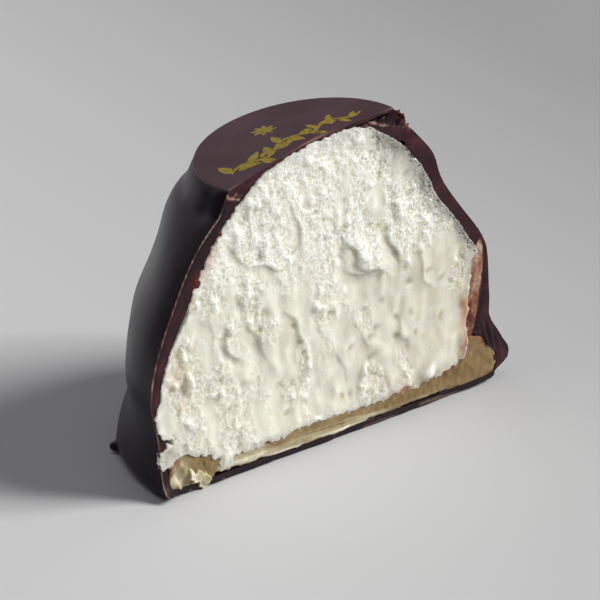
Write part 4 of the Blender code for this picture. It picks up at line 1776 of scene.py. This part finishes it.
@dataclass
class Studio:
    """Pale floor, soft lights and the camera."""

    target: tuple[float, float, float] = (-5.859, 0.0, 19.345)
    azimuth: float = -40.5
    elevation: float = 23.0
    distance: float = 368.0
    lens: float = 192.0
    sensor: float = 36.0
    floor_size: float = 6.0  # in metres
    floor_drop: float = 0.00002  # below the sole, in metres
    room: str = "#cdcdd2"
    room_strength: float = 0.12
    # Painted light: the card is pale in front and to the left and greyer behind and to the right, painted as
    # the fall-off under one big lamp.
    painted_falloff_way: tuple[float, float, float] = (0.9, -0.45, 0.0)
    painted_falloff_reach: float = 0.1  # in metres, to either side of the sweet
    painted_falloff_tones: tuple[tuple[float, str], ...] = (
        (0.35, "#d1d1d1"), (0.6, "#c6c6c6"), (0.8, "#b6b6b6"), (1.0, "#a3a3a3"),
    )
    lamps: tuple[SoftLamp, ...] = (
        SoftLamp("key", (1.0, 0.05, 0.8), 2.7, 1.38, 80.0, "#ffffff"),
        SoftLamp("spark", (1.0, 0.15, 0.5), 0.9, 0.06, 1.1, "#ffffff"),
        SoftLamp("canopy", (-0.25, 0.1, 1.0), 0.9, 0.9, 1.3, "#fbfcff"),
        SoftLamp("bounce", (-0.6, -0.8, 0.3), 0.8, 0.8, 0.75, "#ffeef9"),
    )

    def direction(self, right: float, front: float, up: float) -> Vector:
        """Turns a direction seen from the camera into one of the scene.

        Args:
            right: how far it points to the camera's right.
            front: how far it points towards the camera, over the floor.
            up: how far it points up.

        Returns:
            The direction, as a unit vector.
        """
        turn = math.radians(self.azimuth)
        to_right = Vector((math.cos(turn), math.sin(turn), 0.0))
        to_front = Vector((math.sin(turn), -math.cos(turn), 0.0))
        return (to_right * right + to_front * front + Vector((0.0, 0.0, up))).normalized()

    def place(self, name: str, data: bpy.types.Light | bpy.types.Camera, way: Vector, away: float) -> bpy.types.Object:
        """Puts a lamp or the camera in the scene, turned to the sweet.

        Args:
            name: its name.
            data: the lamp or the camera.
            way: direction from the sweet to it.
            away: its distance in metres.

        Returns:
            Its object.
        """
        placed = bpy.data.objects.new(name, data)
        bpy.context.collection.objects.link(placed)
        placed.location = TO_PART @ Vector(self.target) + way * away
        placed.rotation_euler = way.to_track_quat("Z", "Y").to_euler()
        return placed

    def add_floor(self) -> None:
        """Lays the floor, a wide sheet of pale matt card with a painted fall-off of light."""
        floor = start_from(
            bpy.ops.mesh.primitive_plane_add, size=self.floor_size, location=(0.0, 0.0, -self.floor_drop)
        )
        floor.name = "studio_floor"
        material, tree, shader = new_material("card_with_painted_falloff")
        place = add_node(tree, "TexCoord").outputs["Object"]
        # Painted light: the colour falls off along one direction across the card.
        along = add_node(tree, "VectorMath", {0: place, 1: self.direction(*self.painted_falloff_way)}, operation="DOT_PRODUCT")
        reach = {"Value": along.outputs["Value"], "From Min": -self.painted_falloff_reach, "From Max": self.painted_falloff_reach}
        fade = add_node(tree, "MapRange", reach)
        shaded = add_node(tree, "ValToRGB", {"Fac": fade}, stops=self.painted_falloff_tones)
        set_sockets(shader, {"Base Color": shaded, "Roughness": 0.7})
        dress(floor, material)

    def add_lamps(self) -> None:
        """Hangs the soft lamps and fills the room with a little light."""
        for lamp in self.lamps:
            light = bpy.data.lights.new(lamp.name, "AREA")
            light.shape = "DISK"
            light.size = lamp.size
            light.energy = lamp.power
            light.color = linear(lamp.tint)[:3]
            self.place(lamp.name, light, self.direction(*lamp.way), lamp.away)
        world = bpy.data.worlds.new("soft_room")
        bpy.context.scene.world = world
        world.use_nodes = True
        set_sockets(world.node_tree.nodes["Background"], {"Color": self.room, "Strength": self.room_strength})

    def add_camera(self) -> None:
        """Sets the camera up, with plain colours."""
        camera = bpy.data.cameras.new("camera")
        camera.lens = self.lens
        camera.sensor_width = self.sensor
        camera.clip_start = 0.01
        rise = math.radians(self.elevation)
        back = self.direction(0.0, math.cos(rise), math.sin(rise))
        scene = bpy.context.scene
        scene.camera = self.place("camera", camera, back, self.distance * MM)
        scene.view_settings.view_transform = "Standard"
        scene.view_settings.look = "None"

    def build(self) -> None:
        """Sets up the floor, the lights and the camera."""
        self.add_floor()
        self.add_lamps()
        self.add_camera()


def main() -> None:
    """Builds the sweet from the outside in, then the studio."""
    logging.basicConfig(level=logging.INFO, format="%(name)s: %(message)s")
    knife = Knife()
    pieces = [ChocolateCoat().build(knife), MarzipanBase().build(knife), MarshmallowFoam().build(knife)]
    pieces += ChocolateDisc().build()
    for piece in pieces:
        log.info("%s: %d faces", piece.name, len(piece.data.polygons))
    Studio().build()


if __name__ == "__main__":
    main()
